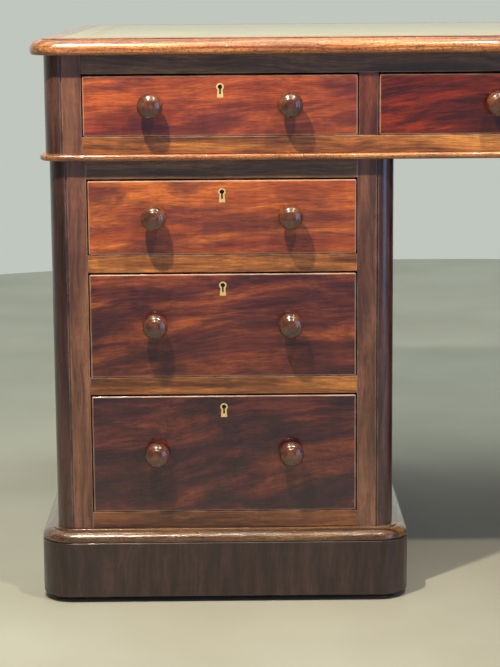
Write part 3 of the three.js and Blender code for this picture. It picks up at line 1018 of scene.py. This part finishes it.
@dataclass
class Drawer:
    """A drawer: a figured front, oak sides, back and bottom, two turned knobs and a brass lock."""

    name: str
    level: Level
    side_thickness: float = 10 * MM
    bottom_thickness: float = 8 * MM
    bottom_lift: float = 4.5 * MM
    corner: float = 2.0 * MM
    arris: float = 2.0 * MM
    tail_length: float = 13 * MM
    tail_pitch: float = 30 * MM
    tail_share: float = 0.6  # of the pitch, at the tail's root
    tail_flare: float = 1.35
    tail_proud: float = 0.1 * MM
    lock_width: float = 62 * MM
    lock_height: float = 40 * MM
    lock_depth: float = 9 * MM
    lock_proud: float = 1.2 * MM
    keyhole_below_top: float = 15.5 * MM
    thread_proud: float = 0.12 * MM
    thread_depth: float = 3 * MM
    stop_width: float = 16 * MM
    stop_length: float = 26 * MM
    stop_height: float = 12 * MM
    stop_clearance: float = 0.4 * MM

    def __post_init__(self) -> None:
        """Finds the drawer's front and box, and sets out its keyhole."""
        self.joiner = Joiner(self.name)
        self.front = Box.of(f"{self.name}_front")
        self.box = Box.of(f"{self.name}_box")
        self.keyhole = Keyhole(sum(self.front.x) / 2, self.front.z[1] - self.keyhole_below_top)

    def build(self) -> None:
        """Makes all the drawer's pieces."""
        self.make_front()
        self.make_box()
        self.make_knobs()
        self.make_lock()
        self.make_stops()
        log.info("drawer %s", self.name)

    def make_front(self) -> None:
        """The front, with its arrises worn round and the keyhole's mortise."""
        bm = bmesh.new()
        block(bm, self.front)
        ease(bm, edges_along(bm, 1), self.corner, 3)
        ease(bm, facing(bm, Vector((0, -1, 0))).edges, self.arris, 3)
        self.keyhole.mortise(bm, self.front.y[0])
        self.joiner.fix(f"{self.name}_face_board", bm, self.level.board(self.name), [f"{self.name}_front"])
        thread = self.keyhole.brass_thread(self.front.y[0] - self.thread_proud, self.thread_depth)
        self.joiner.fix(f"{self.name}_escutcheon", thread, BRASS)

    def make_box(self) -> None:
        """The linings: two dovetailed sides, a back and a bottom."""
        box = self.box
        wall = self.side_thickness
        back = box.resized(x=(box.x[0] + wall, box.x[1] - wall), y=(box.y[1] - wall, box.y[1]))
        self.joiner.fix(f"{self.name}_back_board", eased_block(back), OAK_ACROSS, [f"{self.name}_box"])
        floor = box.z[0] + self.bottom_lift
        bottom = box.resized(
            x=(box.x[0] + wall / 2, box.x[1] - wall / 2),
            y=(box.y[0], box.y[1] - wall),
            z=(floor, floor + self.bottom_thickness),
        )
        self.joiner.fix(f"{self.name}_bottom_board", eased_block(bottom), OAK_ACROSS)
        for hand, x in (("left", (box.x[0], box.x[0] + wall)), ("right", (box.x[1] - wall, box.x[1]))):
            side = box.resized(x=x)
            self.joiner.fix(f"{self.name}_{hand}_side_board", eased_block(side), OAK_ALONG)
            self.joiner.fix(f"{self.name}_{hand}_dovetails", self.dovetails(side), OAK_ALONG)

    def dovetails(self, side: Box) -> BMesh:
        """The tails at the front of a drawer side, each a wedge that widens into the front's end.

        Args:
            side: The side board.

        Returns:
            All its tails.
        """
        bm = bmesh.new()
        height = side.z[1] - side.z[0]
        count = max(2, round(height / self.tail_pitch))
        pitch = height / count
        half = pitch * self.tail_share / 2
        x = (side.x[0] - self.tail_proud, side.x[1] + self.tail_proud)
        y = (side.y[0] - self.tail_length, side.y[0] + 0.5 * MM)
        for i in range(count):
            middle = side.z[0] + pitch * (i + 0.5)
            verts = block(bm, Box(x, y, (middle - half, middle + half)))
            wide = [v for v in verts if v.co.y < side.y[0] - self.tail_length / 2]
            about = Matrix.Translation((0, 0, -middle))
            bmesh.ops.scale(bm, vec=(1, 1, self.tail_flare), space=about, verts=wide)
        return bm

    def make_knobs(self) -> None:
        """The two knobs, turned round their own axes."""
        for hand in ("left", "right"):
            node = f"{self.name}_knob_{hand}"
            knob = Knob(Box.of(node)).turned()
            self.joiner.fix(f"{self.name}_{hand}_knob", knob, KNOB_WOOD, [node], smooth=True)

    def make_lock(self) -> None:
        """The lock let in behind the keyhole: its case, the plate on the front's edge, bolt and screws."""
        x = self.keyhole.x
        back = self.front.y[1]
        top = self.front.z[1]
        half = self.lock_width / 2
        across = (x - half, x + half)
        proud = back + self.lock_proud
        case = Box(across, (back - 2 * MM, proud), (top - self.lock_height, top))
        plate = Box(across, (back - self.lock_depth, proud), (top - 1.4 * MM, top + 0.2 * MM))
        inside = (back - 6.5 * MM, back - 2.5 * MM)
        bolt = Box((x - 9 * MM, x + 9 * MM), inside, (top - 2 * MM, top + 0.6 * MM))
        parts = (("case", case, 0.4, BRASS), ("top_plate", plate, 0.2, BRASS), ("bolt", bolt, 0.3, STEEL))
        for part, box, arris, metal in parts:
            self.joiner.fix(f"{self.name}_lock_{part}", eased_block(box, arris * MM), metal)
        screws = bmesh.new()
        for dx in (-0.8, 0.8):
            for drop in (0.25, 0.8):
                place = Vector((x + dx * half, proud, top - drop * self.lock_height))
                self.screw_head(screws, place)
        self.joiner.fix(f"{self.name}_lock_screws", screws, STEEL)

    def make_stops(self) -> None:
        """The two stops glued on the runners behind the drawer, which bring its front up flush."""
        box = self.box
        y = (box.y[1] + self.stop_clearance, box.y[1] + self.stop_length)
        shelf = self.front.z[0] - CLEARANCE.below
        for hand, x, inward in (("left", box.x[0], 1), ("right", box.x[1], -1)):
            stop = Box((x, x + inward * self.stop_width), y, (shelf, shelf + self.stop_height))
            Joiner("case").fix(f"{self.name}_{hand}_stop", eased_block(stop), OAK_ALONG)

    @staticmethod
    def screw_head(bm: BMesh, place: Vector, radius: float = 2.6 * MM) -> None:
        """Adds a domed screw head that looks towards +Y.

        Args:
            bm: The mesh to add to.
            place: The middle of its seat.
            radius: Its radius.
        """
        turn = Matrix.Translation(place) @ Matrix.Rotation(-math.pi / 2, 4, "X")
        bmesh.ops.create_cone(
            bm, cap_ends=True, segments=16, radius1=radius, radius2=0.7 * radius, depth=1.0 * MM, matrix=turn
        )


@dataclass
class Knob:
    """A turned knob: a collar, a waisted neck and a flattened ball with a small button at its centre."""

    box: Box
    steps: int = 40

    def turned(self) -> BMesh:
        """Spins the knob's profile round its axis."""
        radius = (self.box.x[1] - self.box.x[0]) / 2
        seat = self.box.y[1]
        reach = seat - self.box.y[0]
        centre = Vector((sum(self.box.x) / 2, seat, sum(self.box.z) / 2))
        bm = bmesh.new()
        verts = [bm.verts.new(centre + Vector((r, -d, 0))) for r, d in self.profile(radius, reach)]
        edges = [bm.edges.new(pair) for pair in zip(verts, verts[1:])]
        bmesh.ops.spin(
            bm,
            geom=verts + edges,
            cent=centre,
            axis=(0, 1, 0),
            angle=2 * math.pi,
            steps=self.steps,
            use_merge=True,
            use_duplicate=False,
        )
        return bm

    @staticmethod
    def profile(radius: float, reach: float) -> list[Span]:
        """The knob's outline, from the middle of its front to the middle of its seat.

        Args:
            radius: The ball's radius.
            reach: How far the knob stands out.

        Returns:
            Distances from the axis and from the seat.
        """
        dome = [(0.0, 1.0), (0.16, 0.995), (0.32, 0.98), (0.46, 0.955), (0.56, 0.925), (0.6, 0.905)]
        ball = [(0.62, 0.89), (0.72, 0.87), (0.82, 0.82), (0.9, 0.755), (0.955, 0.685), (0.99, 0.6)]
        back = [(1.0, 0.52), (0.985, 0.44), (0.93, 0.37), (0.84, 0.31), (0.7, 0.265), (0.56, 0.23)]
        neck = [(0.47, 0.19), (0.44, 0.14), (0.47, 0.1)]
        foot = [(0.56, 0.08), (0.64, 0.065), (0.67, 0.04), (0.67, 0.0)]
        points = [(radius * r, reach * d) for r, d in dome + ball + back + neck + foot]
        return points + [(0.0, 0.0)]


# ---- frames and boards ---------------------------------------------------------------------------


@dataclass
class CornerPost:
    """A corner post: a rebated stile, and the quarter column glued into its corner between two quirks.

    Its outer corner is at corner, and it runs inwards from there along the two signs in inward.
    """

    corner: Span
    inward: tuple[int, int]
    width: float
    z: Span
    radius: float
    depth: float = 26 * MM
    quirk_width: float = 2 * MM
    quirk_depth: float = 3 * MM
    arris: float = 0.6 * MM

    def stile(self) -> BMesh:
        """The stile, rebated for the column and sunk beside it to form the quirks."""
        radius, deep, face = self.radius, self.quirk_depth, self.radius + self.quirk_width
        section = [
            (radius, deep),
            (face, deep),
            (face, 0.0),
            (self.width, 0.0),
            (self.width, self.depth),
            (deep, self.depth),
            (deep, radius),
            (radius, radius),
        ]
        return self.run(section, {2: (self.arris, 2), 3: (self.arris, 2)})

    def column(self) -> BMesh:
        """The quarter column, a hair smaller than its rebate."""
        radius = self.radius - 0.02 * MM
        section = [(0.0, 0.0), (radius, 0.0), (radius, radius), (0.0, radius)]
        nose = radius - self.arris - 0.05 * MM
        return self.run(section, {1: (self.arris, 2), 3: (self.arris, 2), 0: (nose, 14)})

    def run(self, section: list[Span], rounded: dict[int, tuple[float, int]]) -> BMesh:
        """Runs a section up to the post's height.

        Args:
            section: Its corners, inwards from the post's outer corner.
            rounded: For each corner to round, its radius and segments.

        Returns:
            The moulding.
        """
        bm = bmesh.new()
        verts = [bm.verts.new((x, y, self.z[0])) for x, y in section]
        bm.faces.new(verts)
        for corner, (width, segments) in rounded.items():
            ease(bm, [verts[corner]], width, segments, corners=True)
        made = bmesh.ops.extrude_face_region(bm, geom=bm.faces[:])["geom"]
        top = [v for v in made if isinstance(v, BMVert)]
        bmesh.ops.translate(bm, verts=top, vec=(0, 0, self.z[1] - self.z[0]))
        bmesh.ops.scale(bm, vec=(*self.inward, 1), verts=bm.verts)
        bmesh.ops.translate(bm, verts=bm.verts, vec=(*self.corner, 0))
        return bm


@dataclass
class Carcass:
    """What the top section and the pedestals have alike: posts, sides, and supports for the drawers."""

    name: str
    post_width: float = 50.5 * MM
    column: float = 22.5 * MM
    side_thickness: float = 18 * MM
    rail_depth: float = 22 * MM
    rail_arris: float = 0.7 * MM
    runner_reach: float = 31 * MM
    guide_height: float = 18 * MM

    def __post_init__(self) -> None:
        """Sets up the work on the case."""
        self.joiner = Joiner("case")

    def make_posts(self, whole: Box, y: float, inward: int, place: str, node: str) -> None:
        """Makes the two corner posts of a frame.

        Args:
            whole: The frame's box.
            y: The frame's outer face.
            inward: The sign of the way in from that face.
            place: The word for it in the pieces' names.
            node: The CAD node that the posts stand for.
        """
        for hand, x, sign in (("left", whole.x[0], 1), ("right", whole.x[1], -1)):
            name = f"{self.name}_{place}_{hand}"
            post = CornerPost((x, y), (sign, inward), self.post_width, whole.z, self.column)
            self.joiner.fix(f"{name}_stile", post.stile(), POST_WOOD, [node], smooth=True)
            self.joiner.fix(f"{name}_column", post.column(), COLUMN_WOOD, smooth=True)

    def between_posts(self, whole: Box, gap: float) -> Span:
        """The span between a frame's posts, with a gap at each."""
        inset = self.post_width + gap
        return (whole.x[0] + inset, whole.x[1] - inset)

    def make_side(self, name: str, node: str, inward: int, wood: Finish) -> float:
        """Makes a side board.

        Args:
            name: The board's name.
            node: The CAD node that it stands for.
            inward: The sign of the way in from it.
            wood: Its finish.

        Returns:
            Where its inner face is.
        """
        whole = Box.of(node)
        face = whole.x[0] if inward > 0 else whole.x[1]
        inside = face + inward * self.side_thickness
        self.joiner.fix(name, eased_block(whole.resized(x=(face, inside))), wood, [node])
        return inside

    def make_support(
        self, name: str, node: str, inward: int, inside: float, drawer: str, thickness: float
    ) -> None:
        """Makes the runner under one side of a drawer, and the guide beside it.

        Args:
            name: The first part of the pieces' names.
            node: The CAD node that they belong to.
            inward: The sign of the way in from the side.
            inside: Where the side's inner face is.
            drawer: The drawer's name.
            thickness: The runner's thickness.
        """
        whole = Box.of(node)
        front = Box.of(f"{drawer}_front")
        edge = (front.x[0] if inward > 0 else front.x[1]) - inward * CLEARANCE.side
        shelf = front.z[0] - CLEARANCE.below
        reach = (inside, edge + inward * self.runner_reach)
        runner = whole.resized(x=reach, z=(shelf - thickness, shelf - SEAM))
        guide = whole.resized(x=(inside, edge), z=(shelf, shelf + self.guide_height))
        self.joiner.fix(f"{name}_runner", eased_block(runner), OAK_ALONG)
        self.joiner.fix(f"{name}_guide", eased_block(guide), OAK_ALONG)


@dataclass
class Pedestal(Carcass):
    """One pedestal: a plinth, a moulded base board, a framed carcass and three drawers."""

    plinth_board: float = 19 * MM
    plinth_corner: float = 44 * MM
    plinth_arris: float = 1.6 * MM
    foot: float = 70 * MM
    foot_arris: float = 1.5 * MM
    runner_thickness: float = 16 * MM
    back_rail: float = 60 * MM
    back_panel: float = 8 * MM
    floor_gap: float = 8 * MM
    ovolo: Span = (14 * MM, 10.6 * MM)
    fillet: tuple[Span, ...] = ((1.0 * MM, -0.4 * MM), (0.1 * MM, 1.2 * MM))
    upper_round: float = 0.9 * MM
    lower_round: float = 0.8 * MM
    shadow_line: tuple[Span, ...] = ((2.0 * MM, 0.0), (0.05 * MM, 1.4 * MM))
    levels: tuple[Level, ...] = (Level.LOWER, Level.MIDDLE, Level.UPPER)

    def build(self) -> None:
        """Makes the pedestal's pieces and its drawers."""
        self.make_plinth()
        self.make_base_board()
        self.make_front()
        self.make_back()
        self.make_sides()
        lid = eased_block(Box.of(f"{self.name}_lid"))
        self.joiner.fix(f"{self.name}_top_panel", lid, OAK_ALONG, [f"{self.name}_lid"])
        log.info("carcass %s", self.name)
        for level in self.levels:
            Drawer(self.drawer(level), level).build()

    def drawer(self, level: Level) -> str:
        """The name of one of the drawers."""
        return f"{self.name}_{level.name.lower()}_drawer"

    def make_plinth(self) -> None:
        """The plinth's boards, and the corner blocks that stand on the floor."""
        node = f"{self.name}_plinth"
        whole = Box.of(node)
        arris = quarter_round(self.plinth_arris, self.plinth_arris, 3)
        bm = moulded_board(whole.resized(z=(self.floor_gap, whole.z[1])), self.plinth_corner, arris, arris)
        hollow(bm, self.plinth_board - self.plinth_arris)
        self.joiner.fix(f"{self.name}_plinth_boards", bm, PLINTH_WOOD, [node], smooth=True)
        inset = self.plinth_board + SEAM
        for across, x, right in (("left", whole.x[0] + inset, 1), ("right", whole.x[1] - inset, -1)):
            for along, y, back in (("front", whole.y[0] + inset, 1), ("back", whole.y[1] - inset, -1)):
                foot = Box((x, x + right * self.foot), (y, y + back * self.foot), (0.0, whole.z[1]))
                name = f"{self.name}_{along}_{across}_corner_block"
                self.joiner.fix(name, eased_block(foot, self.foot_arris), OAK_UPRIGHT)

    def make_base_board(self) -> None:
        """The board on the plinth, with an ovolo and a small fillet round its upper edge."""
        node = f"{self.name}_base_board"
        above = [*quarter_round(*self.ovolo, 8), *self.fillet]
        above += quarter_round(self.upper_round, self.upper_round, 3)
        below = [*quarter_round(self.lower_round, self.lower_round, 2), *self.shadow_line]
        bm = moulded_board(Box.of(node), self.plinth_corner, above, below)
        self.joiner.fix(f"{self.name}_plinth_moulding", bm, BASE_EDGE_WOOD, [node], smooth=True)

    def make_front(self) -> None:
        """The front frame: two corner posts with the rails between them."""
        node = f"{self.name}_front_frame"
        whole = Box.of(node)
        self.make_posts(whole, whole.y[0], 1, "front", node)
        inside = self.between_posts(whole, 1.5 * SEAM)
        depth = (whole.y[0] + SEAM, whole.y[0] + self.rail_depth)
        edges = [whole.z[0]]
        for level in self.levels:
            front = Box.of(f"{self.drawer(level)}_front")
            edges += [front.z[0] - CLEARANCE.below, front.z[1] + CLEARANCE.above]
        edges.append(whole.z[1])
        rails = (
            ("bottom", BOTTOM_RAIL_WOOD),
            ("lower", RAIL_WOOD),
            ("middle", RAIL_WOOD),
            # The top rail sits under the overhang and takes the wood darkened with painted shade.
            ("top", PAINTED_SHADE_RAIL_WOOD),
        )
        for (name, wood), z in zip(rails, zip(edges[::2], edges[1::2])):
            rail = eased_block(Box(inside, depth, z), self.rail_arris)
            self.joiner.fix(f"{self.name}_{name}_rail", rail, wood)

    def make_back(self) -> None:
        """The back frame: two corner posts, a rail at the top and bottom, and a panel."""
        node = f"{self.name}_back_frame"
        whole = Box.of(node)
        self.make_posts(whole, whole.y[1], -1, "back", node)
        inside = self.between_posts(whole, SEAM)
        inner = whole.y[1] - self.rail_depth
        low, high = whole.z[0] + self.back_rail, whole.z[1] - self.back_rail
        for name, z in (("bottom", (whole.z[0], low)), ("top", (high, whole.z[1]))):
            rail = eased_block(Box(inside, (inner, whole.y[1]), z), 1.2 * MM)
            self.joiner.fix(f"{self.name}_back_{name}_rail", rail, RAIL_WOOD)
        panel = eased_block(Box(inside, (inner, inner + self.back_panel), (low, high)))
        self.joiner.fix(f"{self.name}_back_panel", panel, SIDE_WOOD)

    def make_sides(self) -> None:
        """The side boards, with a runner and a guide under each drawer."""
        middle = sum(Box.of(f"{self.name}_lid").x)
        for hand in ("outer", "inner"):
            node = f"{self.name}_{hand}_side"
            inward = 1 if sum(Box.of(node).x) < middle else -1
            inside = self.make_side(f"{node}_board", node, inward, SIDE_WOOD)
            for level in self.levels:
                name = f"{self.name}_{hand}_{level.name.lower()}"
                self.make_support(name, node, inward, inside, self.drawer(level), self.runner_thickness)


@dataclass
class TopSection(Carcass):
    """The upper section: the frieze with its three drawers, the moulded top and its leather."""

    name: str = "frieze"
    post_width: float = 51 * MM
    column: float = 23 * MM
    side_thickness: float = 20 * MM
    muntin: float = 26 * MM
    nose_corner: float = 31 * MM
    top_corner: float = 41.5 * MM
    thumb: Span = (15 * MM, 13.2 * MM)
    fillet: tuple[Span, ...] = ((0.9 * MM, -0.5 * MM), (0.15 * MM, 1.6 * MM))
    upper_round: float = 0.6 * MM
    lower_round: Span = (4.5 * MM, 5.2 * MM)
    leather_recess: float = 1.5 * MM
    tooling_inset: float = 31 * MM
    leaf: float = 0.06 * MM

    def build(self) -> None:
        """Makes the top section's pieces and its drawers."""
        self.make_top()
        self.make_leather()
        self.make_base_board()
        self.make_front()
        self.make_back()
        self.make_ends()
        self.make_dividers()
        log.info("top section")
        for place, level in (("left", Level.FRIEZE), ("centre", Level.CENTRE), ("right", Level.FRIEZE)):
            Drawer(f"{place}_frieze_drawer", level).build()

    def make_top(self) -> None:
        """The top, with a thumb moulding and a recess for the leather."""
        box = Box.of("top_board")
        above = [*quarter_round(*self.thumb, 9), *self.fillet]
        above += quarter_round(self.upper_round, self.upper_round, 2)
        bm = moulded_board(box, self.top_corner, above, quarter_round(*self.lower_round, 4))
        leather = Box.of("writing_leather")
        for axis, places in enumerate((leather.x, leather.y)):
            for place in places:
                level = [f for f in bm.faces if f.normal.z > 0.999]
                faces = [f for f in level if abs(f.calc_center_median().z - box.z[1]) < 1e-5]
                edges = dict.fromkeys(e for f in faces for e in f.edges)
                verts = dict.fromkeys(v for f in faces for v in f.verts)
                score(bm, [*faces, *edges, *verts], axis, place)
        work_edge(bm, facing(bm, UP), [(0.01 * MM, -self.leather_recess)])
        self.joiner.fix("moulded_top", bm, EDGE_WOOD, ["top_board"], smooth=True)

    def make_leather(self) -> None:
        """The leather, with two gilt lines tooled round it."""
        skin = Box.of("writing_leather")
        self.joiner.fix("leather_panel", eased_block(skin, 0.3 * MM), LEATHER, ["writing_leather"])
        for name, inset, width in (("outer", 0.0, 1.4 * MM), ("inner", 9 * MM, 0.8 * MM)):
            line = self.gilt_line(skin, self.tooling_inset + inset, width)
            self.joiner.fix(f"{name}_gilt_line", line, GILT)

    def gilt_line(self, skin: Box, inset: float, width: float) -> BMesh:
        """A gilt line tooled round the leather.

        Args:
            skin: The leather.
            inset: How far in the line runs.
            width: The line's width.

        Returns:
            The line, as a thin closed frame.
        """
        x, y = ((span[0] + inset, span[1] - inset) for span in (skin.x, skin.y))
        bm = bmesh.new()
        block(bm, Box(x, y, (skin.z[1] - self.leaf / 2, skin.z[1] + self.leaf / 2)))
        hollow(bm, width)
        return bm

    def make_base_board(self) -> None:
        """The frieze's base board, whose nose shows as a bead all round."""
        box = Box.of("frieze_base_board")
        nose = (box.z[1] - box.z[0] - 0.2 * MM) / 2
        bead = quarter_round(nose, nose, 6)
        bm = moulded_board(box, self.nose_corner, bead, bead)
        self.joiner.fix("frieze_bead_board", bm, EDGE_WOOD, ["frieze_base_board"], smooth=True)

    def openings(self) -> list[Span]:
        """The spans of the three drawer openings, from the left."""
        fronts = [Box.of(f"{place}_frieze_drawer_front") for place in ("left", "centre", "right")]
        return [(front.x[0] - CLEARANCE.side, front.x[1] + CLEARANCE.side) for front in fronts]

    def make_front(self) -> None:
        """The frieze's front: corner posts, a rail above and below, and two muntins."""
        node = "frieze_front_frame"
        whole = Box.of(node)
        self.make_posts(whole, whole.y[0], 1, "front", node)
        front = Box.of("centre_frieze_drawer_front")
        low, high = front.z[0] - CLEARANCE.below, front.z[1] + CLEARANCE.above
        inside = self.between_posts(whole, 1.5 * SEAM)
        depth = (whole.y[0] + SEAM, whole.y[0] + self.rail_depth)
        # The top rail sits under the top's overhang and takes the wood darkened with painted shade.
        rails = (("bottom", (whole.z[0], low), RAIL_WOOD), ("top", (high, whole.z[1]), PAINTED_SHADE_RAIL_WOOD))
        for name, z, wood in rails:
            rail = eased_block(Box(inside, depth, z), self.rail_arris)
            self.joiner.fix(f"frieze_{name}_rail", rail, wood)
        left, centre, right = self.openings()
        for hand, x in (("left", (left[1], centre[0])), ("right", (centre[1], right[0]))):
            muntin = eased_block(Box(x, depth, (low + SEAM, high - SEAM)), self.rail_arris)
            self.joiner.fix(f"frieze_{hand}_muntin", muntin, MUNTIN_WOOD)

    def make_back(self) -> None:
        """The back of the frieze: a board between two corner posts."""
        node = "frieze_back_frame"
        whole = Box.of(node)
        self.make_posts(whole, whole.y[1], -1, "back", node)
        depth = (whole.y[1] - self.rail_depth, whole.y[1])
        board = Box(self.between_posts(whole, SEAM), depth, whole.z)
        self.joiner.fix("frieze_back_board", eased_block(board, 1 * MM), RAIL_WOOD)

    def make_ends(self) -> None:
        """The frieze's ends, each with a runner and a guide for the drawer beside it."""
        for hand, inward in (("left", 1), ("right", -1)):
            node = f"frieze_{hand}_side"
            drawer = f"{hand}_frieze_drawer"
            inside = self.make_side(f"frieze_{hand}_end_board", node, inward, END_WOOD)
            thickness = Box.of(f"{drawer}_front").z[0] - CLEARANCE.below - Box.of(node).z[0]
            self.make_support(f"frieze_{hand}", node, inward, inside, drawer, thickness)

    def make_dividers(self) -> None:
        """The dividers between the drawers, each standing on a runner that serves both."""
        shelf = Box.of("centre_frieze_drawer_front").z[0] - CLEARANCE.below
        half = self.muntin / 2 - 1 * MM
        for hand in ("left", "right"):
            node = f"frieze_{hand}_divider"
            whole = Box.of(node)
            middle = sum(whole.x) / 2
            board = whole.resized(x=(middle - half, middle + half), z=(shelf, whole.z[1]))
            self.joiner.fix(f"{node}_board", eased_block(board), OAK_ALONG, [node])
            runner = whole.resized(z=(whole.z[0], shelf - SEAM))
            self.joiner.fix(f"{node}_runner", eased_block(runner), OAK_ALONG)


# ---- the studio ----------------------------------------------------------------------------------


@dataclass(frozen=True)
class Lamp:
    """A rectangular area light: its place and target, its width and height, its watts and its beam."""

    name: str
    place: Triple
    target: Triple
    size: Span
    power: float
    colour: str
    beam: float = 180.0  # degrees

    def hang(self) -> None:
        """Adds the light to the scene."""
        data = bpy.data.lights.new(self.name, "AREA")
        data.shape = "RECTANGLE"
        data.size, data.size_y = self.size
        data.spread = math.radians(self.beam)
        data.energy = self.power
        data.color = linear(self.colour)[:3]
        lamp = bpy.data.objects.new(self.name, data)
        lamp.visible_camera = False
        lamp.location = self.place
        lamp.rotation_euler = (Vector(self.target) - Vector(self.place)).to_track_quat("-Z", "Y").to_euler()
        bpy.context.scene.collection.objects.link(lamp)


@dataclass
class Studio:
    """A pale floor, soft lights over the front of the desk, and the camera."""

    floor_radius: float = 3.0
    lens: float = 107.4
    sensor: float = 36.0
    camera_right: float = 0.2508  # from the left pedestal's outer face
    camera_back: float = 2.6778  # in front of the pedestal's face
    camera_height: float = 0.8476
    pitch: float = 10.03  # degrees down
    yaw: float = 0.41  # degrees to the right
    roll: float = 0.415

    def build(self) -> None:
        """Makes the floor, the lights, the world and the camera."""
        self.make_floor()
        self.make_world()
        self.make_lights()
        self.make_camera()
        bpy.context.scene.view_settings.view_transform = "Standard"
        log.info("studio")

    def make_floor(self) -> None:
        """The floor."""
        bm = bmesh.new()
        bmesh.ops.create_circle(bm, cap_ends=True, radius=self.floor_radius, segments=96)
        mesh = bpy.data.meshes.new("studio_floor")
        bm.to_mesh(mesh)
        bm.free()
        paint = StudioPaint("studio_floor_paint", "#a9aba1", "#9f9f94")
        mesh.materials.append(paint.material())
        floor = bpy.data.objects.new("studio_floor", mesh)
        bpy.context.scene.collection.objects.link(floor)

    def make_world(self) -> None:
        """A room that is pale behind the desk, dims towards the front and has a bright ceiling."""
        world = bpy.data.worlds.new("studio_world")
        world.use_nodes = True
        world.node_tree.nodes.clear()
        add = partial(add_node, world.node_tree)
        split = add("SeparateXYZ", {0: add("TexCoord", out="Generated")})
        forwards, upwards = split.node.outputs[1:]
        inputs = {"Value": forwards, "From Min": -0.6, "From Max": 0.6, "To Min": 0.12, "To Max": 0.8}
        walls = add("MapRange", inputs)
        ceiling = add("MapRange", {"Value": upwards, "From Min": 0.85, "From Max": 0.97, "To Max": 2.8})
        lit = add("Math", {0: walls, 1: ceiling}, operation="ADD")
        seen = add("LightPath", out="Is Camera Ray")
        strength = add("Mix", {"Factor": seen, 2: lit, 3: 0.72}, out=0, data_type="FLOAT")
        background = add("Background", {"Color": "#dfe6dc", "Strength": strength})
        add("OutputWorld", {"Surface": background})
        bpy.context.scene.world = world

    def make_lights(self) -> None:
        """Two warm ceiling lights, a cool window on the right and a broad soft light far in front."""
        warm, cool, grey = "#ffeccf", "#b9c3ff", "#c8d4ff"
        bulb = (0.05, 0.05)
        for lamp in (
            Lamp("left_ceiling_light", (-0.86, -1.01, 1.81), (-0.62, -0.42, 0.5), bulb, 16.0, warm, 130.0),
            Lamp("right_ceiling_light", (0.01, -1.01, 1.85), (-0.3, -0.42, 0.5), bulb, 7.5, warm, 130.0),
            Lamp("right_window", (2.2, -2.5, 0.9), (-0.3, -0.4, 0.45), (1.3, 2.1), 27.0, cool),
            Lamp("front_softbox", (-0.5, -6.2, 0.7), (-0.5, -0.4, 0.5), (4.5, 2.4), 13.0, grey),
        ):
            lamp.hang()

    def make_camera(self) -> None:
        """The camera, in front of the left pedestal at standing height."""
        corner = Box.of("left_pedestal_front_frame")
        data = bpy.data.cameras.new("camera")
        data.lens = self.lens
        data.sensor_width = self.sensor
        data.clip_end = 200.0
        camera = bpy.data.objects.new("camera", data)
        place = (corner.x[0] + self.camera_right, corner.y[0] - self.camera_back, self.camera_height)
        turn = (
            Matrix.Rotation(-math.radians(self.yaw), 4, "Z")
            @ Matrix.Rotation(math.radians(90 - self.pitch), 4, "X")
            @ Matrix.Rotation(-math.radians(self.roll), 4, "Z")
        )
        camera.matrix_world = Matrix.Translation(place) @ turn
        bpy.context.scene.collection.objects.link(camera)
        bpy.context.scene.camera = camera


def main() -> None:
    """Builds the whole desk and its studio."""
    logging.basicConfig(level=logging.INFO, format="%(message)s")
    Studio().build()
    TopSection().build()
    for side in ("left", "right"):
        Pedestal(f"{side}_pedestal").build()


if __name__ == "__main__":
    main()
